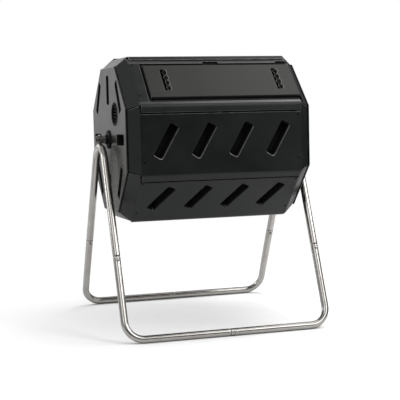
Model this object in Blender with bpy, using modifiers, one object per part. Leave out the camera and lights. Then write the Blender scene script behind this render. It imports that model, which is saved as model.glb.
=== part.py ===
"""Dual chamber compost tumbler: an eight-sided drum that spins on an axle across a bent tube stand.

X runs along the axle, the door side faces -Y and +Z is up.
The origin is on the floor under the drum's middle.
"""

import math

import bmesh
import bpy
from mathutils import Matrix, Vector

# Drum: an octagon with flats at the top, front, bottom and rear, chamfered at both ends
ACROSS_FLATS = 0.544
FLAT_LENGTH = 0.544
DRUM_LENGTH = 0.626
CHAMFER_DROP = 0.0345
SIDES = 8
DRUM_TILT = math.radians(2.2)

# Panels. Between the chamfers, the lower edge of each rounds over the next facet and flares out a little
PANEL_WALL = 0.003
FACET_DEPTH = 0.003
PANEL_TO_CAP = 0.001
WRAP_REACH = 0.0259
WRAP_PROUD = 0.002
WRAP_FLARE = math.radians(6.5)
WRAP_ROUND = 0.008
WRAP_END_GAP = 0.003
SHEET_TUCK = 0.0134
SEAM_GAP = 0.004
SEAM_FROM_FOLD = 0.004
FOLD_BEVEL = 0.0028

# Slanted pockets in the panels, which are mixing fins on the inside
POCKET_LENGTH = 0.118
POCKET_WIDTH = 0.032
POCKET_DEPTH = 0.038
POCKET_LEAN = math.radians(30)
POCKET_PITCH = 0.126
POCKETS_PER_PANEL = 4
POCKET_BELOW_CENTRE = 0.005
POCKET_CORNER = 0.006
POCKET_DRAFT = math.radians(3)
POCKET_WALL = 0.0025

# End caps
CAP_WALL = 0.003
CAP_FLANGE_REACH = 0.022
CAP_POCKET_LENGTH = 0.115
CAP_POCKET_WIDTH = 0.031
CAP_POCKET_DEPTH = 0.024
CAP_POCKET_FROM_SIDE = 0.128
CAP_POCKET_FROM_TOP = 0.133
SPOKE_POCKET_LENGTH = 0.097
SPOKE_POCKET_WIDTH = 0.036
SPOKE_POCKET_FROM_EDGE = 0.108
HUB_HOLE_RADIUS = 0.020
VENT_FROM_SIDE = 0.179
VENT_FROM_TOP = 0.188
VENT_RADIUS = 0.038
VENT_LIP = 0.004
VENT_PROUD = 0.002
VENT_EDGE = 0.001
VENT_SLOT = 0.006
VENT_BAR = 0.005
VENT_SLOTS = 5

# Divider between the two chambers
DIVIDER_WALL = 0.003
DIVIDER_RIM = 0.018
SLEEVE_LENGTH = 0.050
SLEEVE_WALL = 0.004
SLEEVE_FLANGE_RADIUS = 0.034
SLEEVE_FLANGE = 0.004

# Door frame panel: a recess with a lip along its top and bottom edges, open at its right end
RECESS_DEPTH = 0.012
RECESS_FROM_FOLD = 0.034
RECESS_FROM_TOP = 0.0269
RECESS_FROM_BOTTOM = 0.0104
TOP_LIP_REACH = 0.008
TOP_LIP_WALL = 0.0035
TOP_LIP_FROM_FOLD = 0.037
TOP_NOTCH_CENTRE = 0.006
TOP_NOTCH_WIDTH = 0.054
BOTTOM_LIP_REACH = 0.010
BOTTOM_LIP_DROP = 0.003
BOTTOM_LIP_WALL = 0.003
DRAIN_NOTCH_RADIUS = 0.0045
DRAIN_NOTCHES = 8
DRAIN_NOTCH_FROM_FOLD = 0.048
DOORWAY_FROM_MIDDLE = 0.016
DOORWAY_FROM_END = 0.016
DOORWAY_FROM_TOP = 0.0245
DOORWAY_FROM_BOTTOM = 0.029
DOORWAY_CORNER = 0.012

# Sliding door
DOOR_END_GAP = 0.008
DOOR_PAST_FOLD = 0.005
DOOR_TOP_GAP = 0.006
DOOR_BOTTOM_GAP = 0.007
DOOR_PROUD = 0.002
DOOR_WALL = 0.003
DOOR_EDGE = 0.003
TONGUE_WALL = 0.003
TONGUE_CLEARANCE = 0.0012
TOP_TONGUE_GAP = 0.003
BOTTOM_TONGUE_GAP = 0.0045
GRIP_FROM_END = 0.0615
GRIP_FROM_TOP = 0.0265
GRIP_FROM_BOTTOM = 0.030
GRIP_MOUTH = 0.018
GRIP_FLOOR = 0.011
GRIP_DEPTH = 0.008
GRIP_WALL = 0.002
GRIP_FINGERS = 4
GRIP_SCALLOP = 0.005

# Axle and hubs
AXLE_HEIGHT = 0.625
AXLE_RADIUS = 0.0125
AXLE_WALL = 0.0017
AXLE_PROUD = 0.001
HUB_CLEARANCE = 0.0003
HUB_FLANGE_RADIUS = 0.031
HUB_FLANGE = 0.004
HUB_BOSS_RADIUS = 0.0155
HUB_BOSS_LENGTH = 0.013
HUB_SPIGOT_LENGTH = 0.014

# Stand
TUBE_RADIUS = 0.012
TUBE_WALL = 0.0015
HUB_TO_TUBE = 0.0047
LEG_ANGLE = math.radians(25.1)
APEX_BEND = 0.072
FOOT_BEND = 0.060
LEG_JOINT_HEIGHT = 0.259
SPIGOT_LENGTH = 0.040
SPIGOT_CLEARANCE = 0.0006
SWAGE_LENGTH = 0.004
LEG_BOLT_FROM_JOINT = 0.011
BAR_BOLT_FROM_JOINT = 0.018

# Bolts and nuts
BOLT_RADIUS = 0.003
BOLT_CLEARANCE = 0.0003
BOLT_HEAD_RADIUS = 0.0065
BOLT_HEAD_HEIGHT = 0.0035
BOLT_TAIL = 0.0075
NUT_ACROSS_FLATS = 0.010
NUT_HEIGHT = 0.005

# Fits and facets
FIT_GAP = 0.0003
ROUND_STEPS = 20
NOTCH_STEPS = 6
SCALLOP_STEPS = 6
BOLT_STEPS = 8
DOME_STEPS = 3
TUBE_SIDES = 12
BEND_STEPS = 5
WRAP_STEPS = 3
ROUND_PROFILE = 0.5
MERGE_DISTANCE = 0.00001

# Worked out from the sizes above
STEP_ANGLE = 2 * math.pi / SIDES
HALF_STEP = STEP_ANGLE / 2
SKIN = ACROSS_FLATS / 2
FACET = SKIN - FACET_DEPTH
SHEET_BACK = FACET_DEPTH + PANEL_WALL
CAP_DEPTH = SHEET_BACK + PANEL_TO_CAP
HALF_FACET = FACET * math.tan(HALF_STEP)
FOLD = FLAT_LENGTH / 2
DRUM_END = DRUM_LENGTH / 2
CHAMFER_SLOPE = CHAMFER_DROP / (DRUM_END - FOLD)
CHAMFER_STRETCH = math.hypot(1, CHAMFER_SLOPE)
CHAMFER_ANGLE = math.atan(CHAMFER_SLOPE)
PANEL_END = DRUM_END - CAP_WALL - FIT_GAP
CAP_FLANGE_END = FOLD - CAP_FLANGE_REACH
DOOR_FACET = 1
RECESS_FLOOR = FACET - RECESS_DEPTH
RECESS_LEFT = RECESS_FROM_FOLD - FOLD
RECESS_TOP = HALF_FACET - RECESS_FROM_TOP
RECESS_BOTTOM = RECESS_FROM_BOTTOM - HALF_FACET
TOP_LIP_EDGE = RECESS_TOP - TOP_LIP_REACH
TOP_LIP_END = FOLD - TOP_LIP_FROM_FOLD
BOTTOM_LIP_EDGE = RECESS_BOTTOM + BOTTOM_LIP_REACH
DOOR_FACE = SKIN + DOOR_PROUD
DOOR_LEFT = RECESS_LEFT + DOOR_END_GAP
DOOR_RIGHT = FOLD + DOOR_PAST_FOLD
DOOR_TOP = TOP_LIP_EDGE - DOOR_TOP_GAP
DOOR_BOTTOM = BOTTOM_LIP_EDGE + DOOR_BOTTOM_GAP
STAND_HALF_WIDTH = DRUM_END + FIT_GAP + HUB_BOSS_LENGTH + HUB_TO_TUBE + TUBE_RADIUS
AXLE_LENGTH = 2 * (STAND_HALF_WIDTH + TUBE_RADIUS + AXLE_PROUD)
FOOT_HEIGHT = TUBE_RADIUS * math.cos(math.pi / TUBE_SIDES)
LEG_MEET = AXLE_HEIGHT - AXLE_RADIUS - FIT_GAP - TUBE_RADIUS + APEX_BEND * (1 / math.sin(LEG_ANGLE) - 1)
FOOT_HALF_DEPTH = (LEG_MEET - FOOT_HEIGHT) * math.tan(LEG_ANGLE)
OUTSIDE = 0.05


def clear_scene():
    for obj in list(bpy.data.objects):
        bpy.data.objects.remove(obj, do_unlink=True)


def collection(name):
    made = bpy.data.collections.new(name)
    bpy.context.scene.collection.children.link(made)
    return made


def material(name, colour, roughness, metallic=0.0):
    made = bpy.data.materials.new(name)
    made.use_nodes = True
    shader = made.node_tree.nodes["Principled BSDF"]
    shader.inputs["Base Color"].default_value = (*colour, 1)
    shader.inputs["Roughness"].default_value = roughness
    shader.inputs["Metallic"].default_value = metallic
    return made


clear_scene()
PARTS = collection("dual_chamber_compost_tumbler")
CUTTERS = collection("cutters")
PANEL_PLASTIC = material("panel_plastic", (0.020, 0.021, 0.020), 0.55)
DOOR_PLASTIC = material("door_plastic", (0.022, 0.022, 0.021), 0.50)
CAP_PLASTIC = material("cap_plastic", (0.022, 0.022, 0.021), 0.60)
HUB_PLASTIC = material("hub_plastic", (0.012, 0.012, 0.012), 0.45)
STAND_ZINC = material("stand_zinc", (0.62, 0.60, 0.57), 0.28, 1.0)
FASTENER_ZINC = material("fastener_zinc", (0.55, 0.54, 0.52), 0.35, 1.0)


def axle_frame(name, parent, tilt):
    """An empty on the axle's line, turned about it, which the pieces that move with it hang on."""
    empty = bpy.data.objects.new(name, None)
    empty.parent = parent
    empty.rotation_euler = (tilt, 0, 0)
    PARTS.objects.link(empty)
    return empty


DRUM_PIVOT = axle_frame("drum_pivot", None, -DRUM_TILT)
DRUM_PIVOT.location = (0, 0, AXLE_HEIGHT)
DOOR_TRACK = axle_frame("door_track", DRUM_PIVOT, DOOR_FACET * STEP_ANGLE)


def mesh_from(bm, name):
    bmesh.ops.recalc_face_normals(bm, faces=bm.faces)
    mesh = bpy.data.meshes.new(name)
    bm.to_mesh(mesh)
    bm.free()
    return mesh


def joined(solids):
    """One bmesh of several separate closed solids."""
    whole = bmesh.new()
    for bm in solids:
        mesh = mesh_from(bm, "joined")
        whole.from_mesh(mesh)
        bpy.data.meshes.remove(mesh)
    return whole


def evaluated_mesh(obj, name):
    graph = bpy.context.evaluated_depsgraph_get()
    graph.update()
    mesh = bpy.data.meshes.new_from_object(obj.evaluated_get(graph))
    mesh.name = name
    bpy.data.objects.remove(obj, do_unlink=True)
    return mesh


def combine(name, base, steps):
    """The mesh of a base after Boolean steps, each an operation and a bmesh of closed solids."""
    target = bpy.data.objects.new(name, base)
    CUTTERS.objects.link(target)
    for number, (operation, bm) in enumerate(steps):
        label = f"{name}_{operation.lower()}_{number}"
        tool = bpy.data.objects.new(label, mesh_from(bm, label))
        tool.hide_render = True
        tool.display_type = "WIRE"
        CUTTERS.objects.link(tool)
        boolean = target.modifiers.new(label, "BOOLEAN")
        boolean.operation = operation
        boolean.solver = "EXACT"
        boolean.object = tool
    return evaluated_mesh(target, name)


def piece(name, mesh, finish, parent=None, turn=(0, 0, 0)):
    """One sub-part, turned about its parent's origin."""
    mesh.shade_smooth()
    mesh.set_sharp_from_angle(angle=math.radians(30))
    mesh.materials.clear()
    mesh.materials.append(finish)
    obj = bpy.data.objects.new(name, mesh)
    obj.parent = parent
    obj.rotation_euler = turn
    PARTS.objects.link(obj)


def copies(names_and_turns, mesh, finish, parent):
    """Sub-parts of one shape, each with a mesh of its own."""
    for name, turn in names_and_turns.items():
        own = mesh.copy()
        own.name = name
        piece(name, own, finish, parent, turn)
    bpy.data.meshes.remove(mesh)


def box(x, y, z):
    """A box from three (low, high) pairs."""
    bm = bmesh.new()
    size = Matrix.Diagonal((x[1] - x[0], y[1] - y[0], z[1] - z[0], 1))
    centre = Matrix.Translation((sum(x) / 2, sum(y) / 2, sum(z) / 2))
    bmesh.ops.create_cube(bm, size=1, matrix=centre @ size)
    return bm


def rod(radius, length, place, steps=ROUND_STEPS):
    """A cylinder about its own Z axis, with its middle at the place."""
    bm = bmesh.new()
    bmesh.ops.create_cone(
        bm, cap_ends=True, segments=steps, radius1=radius, radius2=radius, depth=length, matrix=place
    )
    return bm


def prism(outline, low, high):
    """A flat outline in X and Y, extruded from one height to another."""
    bm = bmesh.new()
    face = bm.faces.new([bm.verts.new((x, y, low)) for x, y in outline])
    grown = bmesh.ops.extrude_face_region(bm, geom=[face])["geom"]
    moved = [item for item in grown if isinstance(item, bmesh.types.BMVert)]
    bmesh.ops.translate(bm, vec=(0, 0, high - low), verts=moved)
    return bm


def placed(bm, place):
    bmesh.ops.transform(bm, matrix=place, verts=bm.verts)
    return bm


def aimed(point, direction):
    """The matrix that takes the origin to a point and +X to a direction."""
    turn = Vector((1, 0, 0)).rotation_difference(Vector(direction))
    return Matrix.Translation(point) @ turn.to_matrix().to_4x4()


def shifted(point):
    return Matrix.Translation(point)


def spun(angle, axis):
    return Matrix.Rotation(angle, 4, axis)


def arc(centre, radius, start, end, steps):
    """Points along an arc, with both of its ends."""
    turns = [start + (end - start) * i / steps for i in range(steps + 1)]
    return [(centre[0] + radius * math.cos(a), centre[1] + radius * math.sin(a)) for a in turns]


def rounded_box(half_width, half_length, radius, steps):
    """The outline of a rounded rectangle round the origin."""
    outline = []
    for number, (sx, sy) in enumerate(((1, 1), (-1, 1), (-1, -1), (1, -1))):
        centre = (sx * (half_width - radius), sy * (half_length - radius))
        start = number * math.pi / 2
        outline += arc(centre, radius, start, start + math.pi / 2, steps)
    return outline


def turned(profile, steps=ROUND_STEPS, start=0.0, ring=True):
    """(radius, x) points turned about the X axis. A ring closes its profile. Others end on the axis."""
    mesh = bpy.data.meshes.new("profile")
    rim = [(x, -radius * math.sin(start), radius * math.cos(start)) for radius, x in profile]
    edges = list(zip(range(len(rim) - 1), range(1, len(rim))))
    if ring:
        edges.append((len(rim) - 1, 0))
    mesh.from_pydata(rim, edges, [])
    obj = bpy.data.objects.new("profile", mesh)
    CUTTERS.objects.link(obj)
    screw = obj.modifiers.new("turn", "SCREW")
    screw.axis = "X"
    screw.steps = steps
    screw.render_steps = steps
    screw.use_merge_vertices = True
    screw.merge_threshold = MERGE_DISTANCE
    turned_mesh = evaluated_mesh(obj, "turned")
    bm = bmesh.new()
    bm.from_mesh(turned_mesh)
    bpy.data.meshes.remove(turned_mesh)
    return bm


def octagonal(points, ring):
    """(flat-to-axle distance, x) points turned into an eight-sided shape with a flat on top."""
    return turned([(distance / math.cos(HALF_STEP), x) for distance, x in points], SIDES, HALF_STEP, ring)


def chamfer_height(x, depth):
    """How far from the axle the drum's chamfer is at x, at a depth below its skin."""
    return SKIN - depth * CHAMFER_STRETCH - CHAMFER_SLOPE * (x - FOLD)


def chamfer_fold(depth):
    """Where along X the flat folds into the chamfer, at a depth below the skin."""
    return FOLD - depth * (CHAMFER_STRETCH - 1) / CHAMFER_SLOPE


def wrap_line():
    """(Up, out) points round the panel's lower corner and down to the wrap's edge."""
    down = math.cos(STEP_ANGLE)
    over = math.sin(STEP_ANGLE)
    rise = math.tan(WRAP_FLARE)
    edge_up = HALF_FACET - WRAP_REACH
    edge_out = SKIN + WRAP_PROUD
    corner_up = (FACET - down * (edge_out + edge_up * rise)) / (over - down * rise)
    corner_out = edge_out - (corner_up - edge_up) * rise
    corner = (corner_up * down - corner_out * over, FACET)
    edge = (edge_up * down - edge_out * over, edge_up * over + edge_out * down)
    turn = STEP_ANGLE - WRAP_FLARE
    radius = WRAP_ROUND / math.tan(turn / 2)
    centre = (corner[0] + WRAP_ROUND, corner[1] - radius)
    return [*arc(centre, radius, math.pi / 2, math.pi / 2 + turn, WRAP_STEPS), edge]


def add_sheet(bm, columns):
    """Adds a grid of faces between columns of points."""
    rows = [[bm.verts.new(place) for place in column] for column in columns]
    for left, right in zip(rows, rows[1:]):
        for low, high in zip(range(len(left) - 1), range(1, len(left))):
            bm.faces.new((left[low], right[low], right[high], left[high]))


def panel_skin():
    """A facet, its wrap over the next facet and a chamfer at each end, as one thin closed shell."""
    tuck = (HALF_FACET - SHEET_TUCK, FACET)
    wrap = wrap_line()
    seam = (HALF_FACET - SEAM_GAP, FACET)
    shared = [tuck, *wrap[: WRAP_STEPS // 2 + 1]]
    free = wrap[WRAP_STEPS // 2 + 1 :]
    fold = chamfer_fold(FACET_DEPTH)
    bm = bmesh.new()
    flat = []
    for side in (-1, 1):
        by_fold = [(side * fold, *point) for point in shared]
        drawn_in = [(side * (fold - WRAP_END_GAP), *point) for point in free]
        flat.append(by_fold + drawn_in)
        chamfer = []
        for x in (fold + SEAM_FROM_FOLD, PANEL_END):
            fall = CHAMFER_SLOPE * (x - fold)
            taper = fall * math.tan(HALF_STEP)
            line = [(side * x, up - math.copysign(taper, up), out - fall) for up, out in (seam, *shared)]
            chamfer.append(line)
        add_sheet(bm, chamfer)
        add_sheet(bm, [by_fold, chamfer[0][1:]])
    add_sheet(bm, flat)
    bmesh.ops.remove_doubles(bm, verts=bm.verts, dist=MERGE_DISTANCE)
    bmesh.ops.recalc_face_normals(bm, faces=bm.faces)
    folds = [edge for edge in bm.edges if edge.calc_face_angle(0) > CHAMFER_ANGLE / 2]
    bmesh.ops.bevel(bm, geom=folds, offset=FOLD_BEVEL, segments=2, profile=ROUND_PROFILE, affect="EDGES")
    if max(bm.faces, key=lambda face: face.calc_area()).normal.z < 0:
        bmesh.ops.reverse_faces(bm, faces=bm.faces)
    mesh = bpy.data.meshes.new("panel_skin")
    bm.to_mesh(mesh)
    bm.free()
    obj = bpy.data.objects.new("panel_skin", mesh)
    CUTTERS.objects.link(obj)
    shell = obj.modifiers.new("wall", "SOLIDIFY")
    shell.thickness = PANEL_WALL
    shell.offset = -1
    shell.use_even_offset = True
    return evaluated_mesh(obj, "panel_skin")


def tapered(outline, top, bottom, mouth):
    """An upright shape with an outline at its mouth, drawn in towards its bottom by the moulding draft."""
    bm = prism(outline, bottom, top)
    for vert in bm.verts:
        draw = (mouth - vert.co.z) * math.tan(POCKET_DRAFT)
        vert.co.x -= math.copysign(draw, vert.co.x)
        vert.co.y -= math.copysign(draw, vert.co.y)
    return bm


def pocket(width, length, depth, face, place):
    """The solid round a pocket, and the hollow in it, below a face at a height of its own."""
    wide = rounded_box(width / 2 + POCKET_WALL, length / 2 + POCKET_WALL, POCKET_CORNER + POCKET_WALL, 2)
    clear = rounded_box(width / 2, length / 2, POCKET_CORNER, 2)
    shell = tapered(wide, face - PANEL_WALL / 2, face - depth - POCKET_WALL, face)
    hollow = tapered(clear, face + PANEL_WALL, face - depth, face)
    return placed(shell, place), placed(hollow, place)


def side_panels():
    shells = []
    hollows = []
    for number in range(POCKETS_PER_PANEL):
        along = (number - (POCKETS_PER_PANEL - 1) / 2) * POCKET_PITCH
        place = shifted((along, -POCKET_BELOW_CENTRE, 0)) @ spun(-POCKET_LEAN, "Z")
        shell, hollow = pocket(POCKET_WIDTH, POCKET_LENGTH, POCKET_DEPTH, FACET, place)
        shells.append(shell)
        hollows.append(hollow)
    mesh = combine("side_panel", panel_skin(), [("UNION", joined(shells)), ("DIFFERENCE", joined(hollows))])
    facets = {
        "top_panel": 0,
        "front_panel": 2,
        "lower_front_panel": 3,
        "bottom_panel": 4,
        "lower_rear_panel": 5,
        "rear_panel": 6,
        "upper_rear_panel": 7,
    }
    turns = {name: (facet * STEP_ANGLE, 0, 0) for name, facet in facets.items()}
    copies(turns, mesh, PANEL_PLASTIC, DRUM_PIVOT)


def section_prism(outline, low, high):
    """An outline of (across the facet, from the axle) points, extruded along X."""
    to_facet = Matrix(((0, 0, 1, 0), (1, 0, 0, 0), (0, 1, 0, 0), (0, 0, 0, 1)))
    return placed(prism(outline, low, high), to_facet)


def door_frame():
    """The facet that carries the door: its recess, tracks, doorways and drain notches."""
    low = RECESS_FLOOR - PANEL_WALL
    high = FACET - PANEL_WALL / 2
    chamfer_middle = SKIN - (FACET_DEPTH + PANEL_WALL / 2) * CHAMFER_STRETCH
    tray_side = [
        (RECESS_LEFT - PANEL_WALL, low),
        (FOLD + (chamfer_middle - low) / CHAMFER_SLOPE, low),
        (FOLD + (chamfer_middle - high) / CHAMFER_SLOPE, high),
        (RECESS_LEFT - PANEL_WALL, high),
    ]
    tray = prism(tray_side, -RECESS_TOP - PANEL_WALL, -RECESS_BOTTOM + PANEL_WALL)
    placed(tray, spun(math.pi / 2, "X"))
    above = SKIN + OUTSIDE
    bottom_lip = FACET - BOTTOM_LIP_DROP
    track = [
        (RECESS_BOTTOM, RECESS_FLOOR),
        (RECESS_TOP, RECESS_FLOOR),
        (RECESS_TOP, FACET - TOP_LIP_WALL),
        (TOP_LIP_EDGE, FACET - TOP_LIP_WALL),
        (TOP_LIP_EDGE, above),
        (RECESS_BOTTOM, above),
        (RECESS_BOTTOM, bottom_lip),
        (BOTTOM_LIP_EDGE, bottom_lip),
        (BOTTOM_LIP_EDGE, bottom_lip - BOTTOM_LIP_WALL),
        (RECESS_BOTTOM, bottom_lip - BOTTOM_LIP_WALL),
    ]
    lip_root = RECESS_FLOOR + PANEL_WALL
    lip_gaps = [
        box((TOP_LIP_END, DRUM_LENGTH), (0, RECESS_TOP), (lip_root, above)),
        box((FOLD, DRUM_LENGTH), (RECESS_BOTTOM, 0), (lip_root, above)),
        box(
            (TOP_NOTCH_CENTRE - TOP_NOTCH_WIDTH / 2, TOP_NOTCH_CENTRE + TOP_NOTCH_WIDTH / 2),
            (0, RECESS_TOP),
            (lip_root, above),
        ),
    ]
    first_notch = DRAIN_NOTCH_FROM_FOLD - FOLD
    for number in range(DRAIN_NOTCHES):
        along = first_notch * (1 - 2 * number / (DRAIN_NOTCHES - 1))
        at = shifted((along, BOTTOM_LIP_EDGE, bottom_lip - BOTTOM_LIP_WALL / 2))
        lip_gaps.append(rod(DRAIN_NOTCH_RADIUS, 2 * BOTTOM_LIP_WALL, at, NOTCH_STEPS))
    outer = -RECESS_LEFT - DOORWAY_FROM_END
    top = RECESS_TOP - DOORWAY_FROM_TOP
    bottom = RECESS_BOTTOM + DOORWAY_FROM_BOTTOM
    outline = rounded_box((outer - DOORWAY_FROM_MIDDLE) / 2, (top - bottom) / 2, DOORWAY_CORNER, 4)
    doorways = []
    for side in (-1, 1):
        doorway = prism(outline, RECESS_FLOOR - 2 * PANEL_WALL, RECESS_FLOOR + PANEL_WALL)
        centre = (side * (DOORWAY_FROM_MIDDLE + outer) / 2, (top + bottom) / 2, 0)
        doorways.append(placed(doorway, shifted(centre)))
    mesh = combine(
        "door_frame_panel",
        panel_skin(),
        [
            ("UNION", tray),
            ("DIFFERENCE", section_prism(track, RECESS_LEFT, DRUM_LENGTH)),
            ("DIFFERENCE", joined(lip_gaps)),
            ("DIFFERENCE", joined(doorways)),
        ],
    )
    piece("door_frame_panel", mesh, PANEL_PLASTIC, DRUM_PIVOT, (DOOR_FACET * STEP_ANGLE, 0, 0))


def grip_outline(left, right, half_height, scallop):
    """A pocket outline with one straight side and one side of finger scallops."""
    steps = GRIP_FINGERS * SCALLOP_STEPS
    outline = [(left, half_height), (left, -half_height)]
    for step in range(steps + 1):
        bulge = scallop * abs(math.sin(math.pi * step / SCALLOP_STEPS))
        outline.append((right + bulge, (2 * step / steps - 1) * half_height))
    return outline


def grip_pocket(height, extra, top, bottom):
    """A grip's pocket shape grown by a wall. Its scalloped side slopes out from the floor to the mouth."""
    half_height = height / 2 + extra
    left = -GRIP_MOUTH / 2 - extra
    floor_right = left + GRIP_FLOOR + 2 * extra
    bm = prism(grip_outline(left, floor_right, half_height, GRIP_SCALLOP), bottom, top)
    spread = (GRIP_MOUTH - GRIP_FLOOR) / GRIP_DEPTH
    for vert in bm.verts:
        if vert.co.x > left + GRIP_WALL / 2:
            vert.co.x += spread * (vert.co.z - bottom)
    return bm


def sliding_door():
    """An open-backed door with a tongue along its top and bottom edges and a finger grip at each end."""
    top_tongue = FACET - TOP_LIP_WALL - TONGUE_CLEARANCE
    bottom_tongue = FACET - BOTTOM_LIP_DROP - BOTTOM_LIP_WALL - TONGUE_CLEARANCE
    back = top_tongue - TONGUE_WALL
    block = box((DOOR_LEFT, DOOR_RIGHT), (DOOR_BOTTOM, DOOR_TOP), (back, DOOR_FACE))
    crisp = [edge for edge in block.edges if all(vert.co.z > back + DOOR_WALL for vert in edge.verts)]
    bmesh.ops.bevel(block, geom=crisp, offset=DOOR_EDGE, segments=3, profile=ROUND_PROFILE, affect="EDGES")
    hollow = box(
        (DOOR_LEFT + DOOR_WALL, DOOR_RIGHT - DOOR_WALL),
        (DOOR_BOTTOM + DOOR_WALL, DOOR_TOP - DOOR_WALL),
        (back - OUTSIDE, DOOR_FACE - DOOR_WALL),
    )
    long_sides = (DOOR_LEFT, DOOR_RIGHT)
    tongues = joined(
        [
            box(
                long_sides,
                (DOOR_TOP - DOOR_WALL / 2, RECESS_TOP - TOP_TONGUE_GAP),
                (top_tongue - TONGUE_WALL, top_tongue),
            ),
            box(
                long_sides,
                (RECESS_BOTTOM + BOTTOM_TONGUE_GAP, DOOR_BOTTOM + DOOR_WALL / 2),
                (bottom_tongue - TONGUE_WALL, bottom_tongue),
            ),
        ]
    )
    grip_floor = DOOR_FACE - GRIP_DEPTH
    shells = []
    mouths = []
    grip_top = DOOR_TOP - GRIP_FROM_TOP
    grip_bottom = DOOR_BOTTOM + GRIP_FROM_BOTTOM
    height = grip_top - grip_bottom
    for along in (DOOR_LEFT + GRIP_FROM_END, DOOR_RIGHT - GRIP_FROM_END):
        at = shifted((along, (grip_top + grip_bottom) / 2, 0))
        shell = grip_pocket(height, GRIP_WALL, DOOR_FACE - DOOR_WALL / 2, grip_floor - GRIP_WALL)
        shells.append(placed(shell, at))
        mouths.append(placed(grip_pocket(height, 0, DOOR_FACE + DOOR_WALL, grip_floor), at))
    mesh = combine(
        "sliding_door",
        mesh_from(block, "sliding_door"),
        [
            ("DIFFERENCE", hollow),
            ("UNION", tongues),
            ("UNION", joined(shells)),
            ("DIFFERENCE", joined(mouths)),
        ],
    )
    piece("sliding_door", mesh, DOOR_PLASTIC, DOOR_TRACK)


def tray_room(low, high):
    """The room that the door frame's recess takes up, between two places along the drum."""
    room_wall = PANEL_WALL + PANEL_TO_CAP
    room = box(
        (low, high),
        (RECESS_BOTTOM - room_wall, RECESS_TOP + room_wall),
        (RECESS_FLOOR - room_wall, SKIN + OUTSIDE),
    )
    return placed(room, spun(DOOR_FACET * STEP_ANGLE, "X"))


def cap_pockets():
    """The shells and hollows of the right end cap's pockets: four on the slant and four like spokes."""
    to_end = spun(math.pi / 2, "Y") @ spun(math.pi / 2, "Z")
    places = []
    out = SKIN - CAP_POCKET_FROM_SIDE
    up = SKIN - CAP_POCKET_FROM_TOP
    for side in (-1, 1):
        for rise in (-1, 1):
            at = shifted((side * out, rise * up, 0)) @ spun(side * rise * POCKET_LEAN, "Z")
            places.append((CAP_POCKET_WIDTH, CAP_POCKET_LENGTH, at))
    for quarter in range(4):
        at = spun(quarter * math.pi / 2, "Z") @ shifted((0, SKIN - SPOKE_POCKET_FROM_EDGE, 0))
        places.append((SPOKE_POCKET_WIDTH, SPOKE_POCKET_LENGTH, at))
    pairs = [pocket(width, length, CAP_POCKET_DEPTH, DRUM_END, to_end @ at) for width, length, at in places]
    return joined(shell for shell, _ in pairs), [hollow for _, hollow in pairs]


def end_caps():
    """Each cap is a flat end, a wall under the panels' chamfers and a flange that the panels screw to."""
    wall = CAP_WALL
    flange = SKIN - CAP_DEPTH
    fold = chamfer_fold(CAP_DEPTH)
    profile = [
        (0, DRUM_END),
        (chamfer_height(DRUM_END, 0), DRUM_END),
        (chamfer_height(DRUM_END - wall, 0), DRUM_END - wall),
        (chamfer_height(DRUM_END - wall, CAP_DEPTH), DRUM_END - wall),
        (flange, fold),
        (flange, CAP_FLANGE_END),
        (flange - wall, CAP_FLANGE_END),
        (flange - wall, chamfer_fold(CAP_DEPTH + wall)),
        (chamfer_height(DRUM_END - wall, CAP_DEPTH + wall), DRUM_END - wall),
        (0, DRUM_END - wall),
    ]
    along = spun(math.pi / 2, "Y")
    for name, turn in (("right_end_cap", 0.0), ("left_end_cap", math.pi)):
        base = mesh_from(octagonal(profile, False), name)
        shells, hollows = cap_pockets()
        hollows.append(rod(HUB_HOLE_RADIUS, OUTSIDE, shifted((DRUM_END, 0, 0)) @ along))
        vent_at = shifted((DRUM_END, SKIN - VENT_FROM_SIDE, SKIN - VENT_FROM_TOP))
        hollows.append(rod(VENT_RADIUS - VENT_LIP, OUTSIDE, vent_at @ along))
        steps = [("UNION", shells), ("DIFFERENCE", joined(hollows))]
        if name == "right_end_cap":
            steps.append(("DIFFERENCE", tray_room(CAP_FLANGE_END - wall, DRUM_END - wall)))
        piece(name, combine(name, base, steps), CAP_PLASTIC, DRUM_PIVOT, (0, 0, turn))


def vents():
    """A round insert with a row of slots, in a hole of the end cap."""
    seat = DRUM_END + FIT_GAP
    spigot = VENT_RADIUS - VENT_LIP - FIT_GAP
    back = DRUM_END - CAP_WALL
    profile = [
        (0, seat + VENT_PROUD),
        (VENT_RADIUS - VENT_EDGE, seat + VENT_PROUD),
        (VENT_RADIUS, seat + VENT_PROUD - VENT_EDGE),
        (VENT_RADIUS, seat),
        (spigot, seat),
        (spigot, back),
        (0, back),
    ]
    slots = []
    for number in range(VENT_SLOTS):
        rise = (number - (VENT_SLOTS - 1) / 2) * (VENT_SLOT + VENT_BAR)
        half = math.sqrt((spigot - VENT_BAR) ** 2 - (abs(rise) + VENT_SLOT / 2) ** 2)
        heights = (rise - VENT_SLOT / 2, rise + VENT_SLOT / 2)
        slots.append(box((back - OUTSIDE, seat + OUTSIDE), (-half, half), heights))
    mesh = combine("vent", mesh_from(turned(profile, ring=False), "vent"), [("DIFFERENCE", joined(slots))])
    mesh.transform(shifted((0, SKIN - VENT_FROM_SIDE, SKIN - VENT_FROM_TOP)))
    copies({"right_vent": (0, 0, 0), "left_vent": (0, 0, math.pi)}, mesh, HUB_PLASTIC, DRUM_PIVOT)


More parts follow.
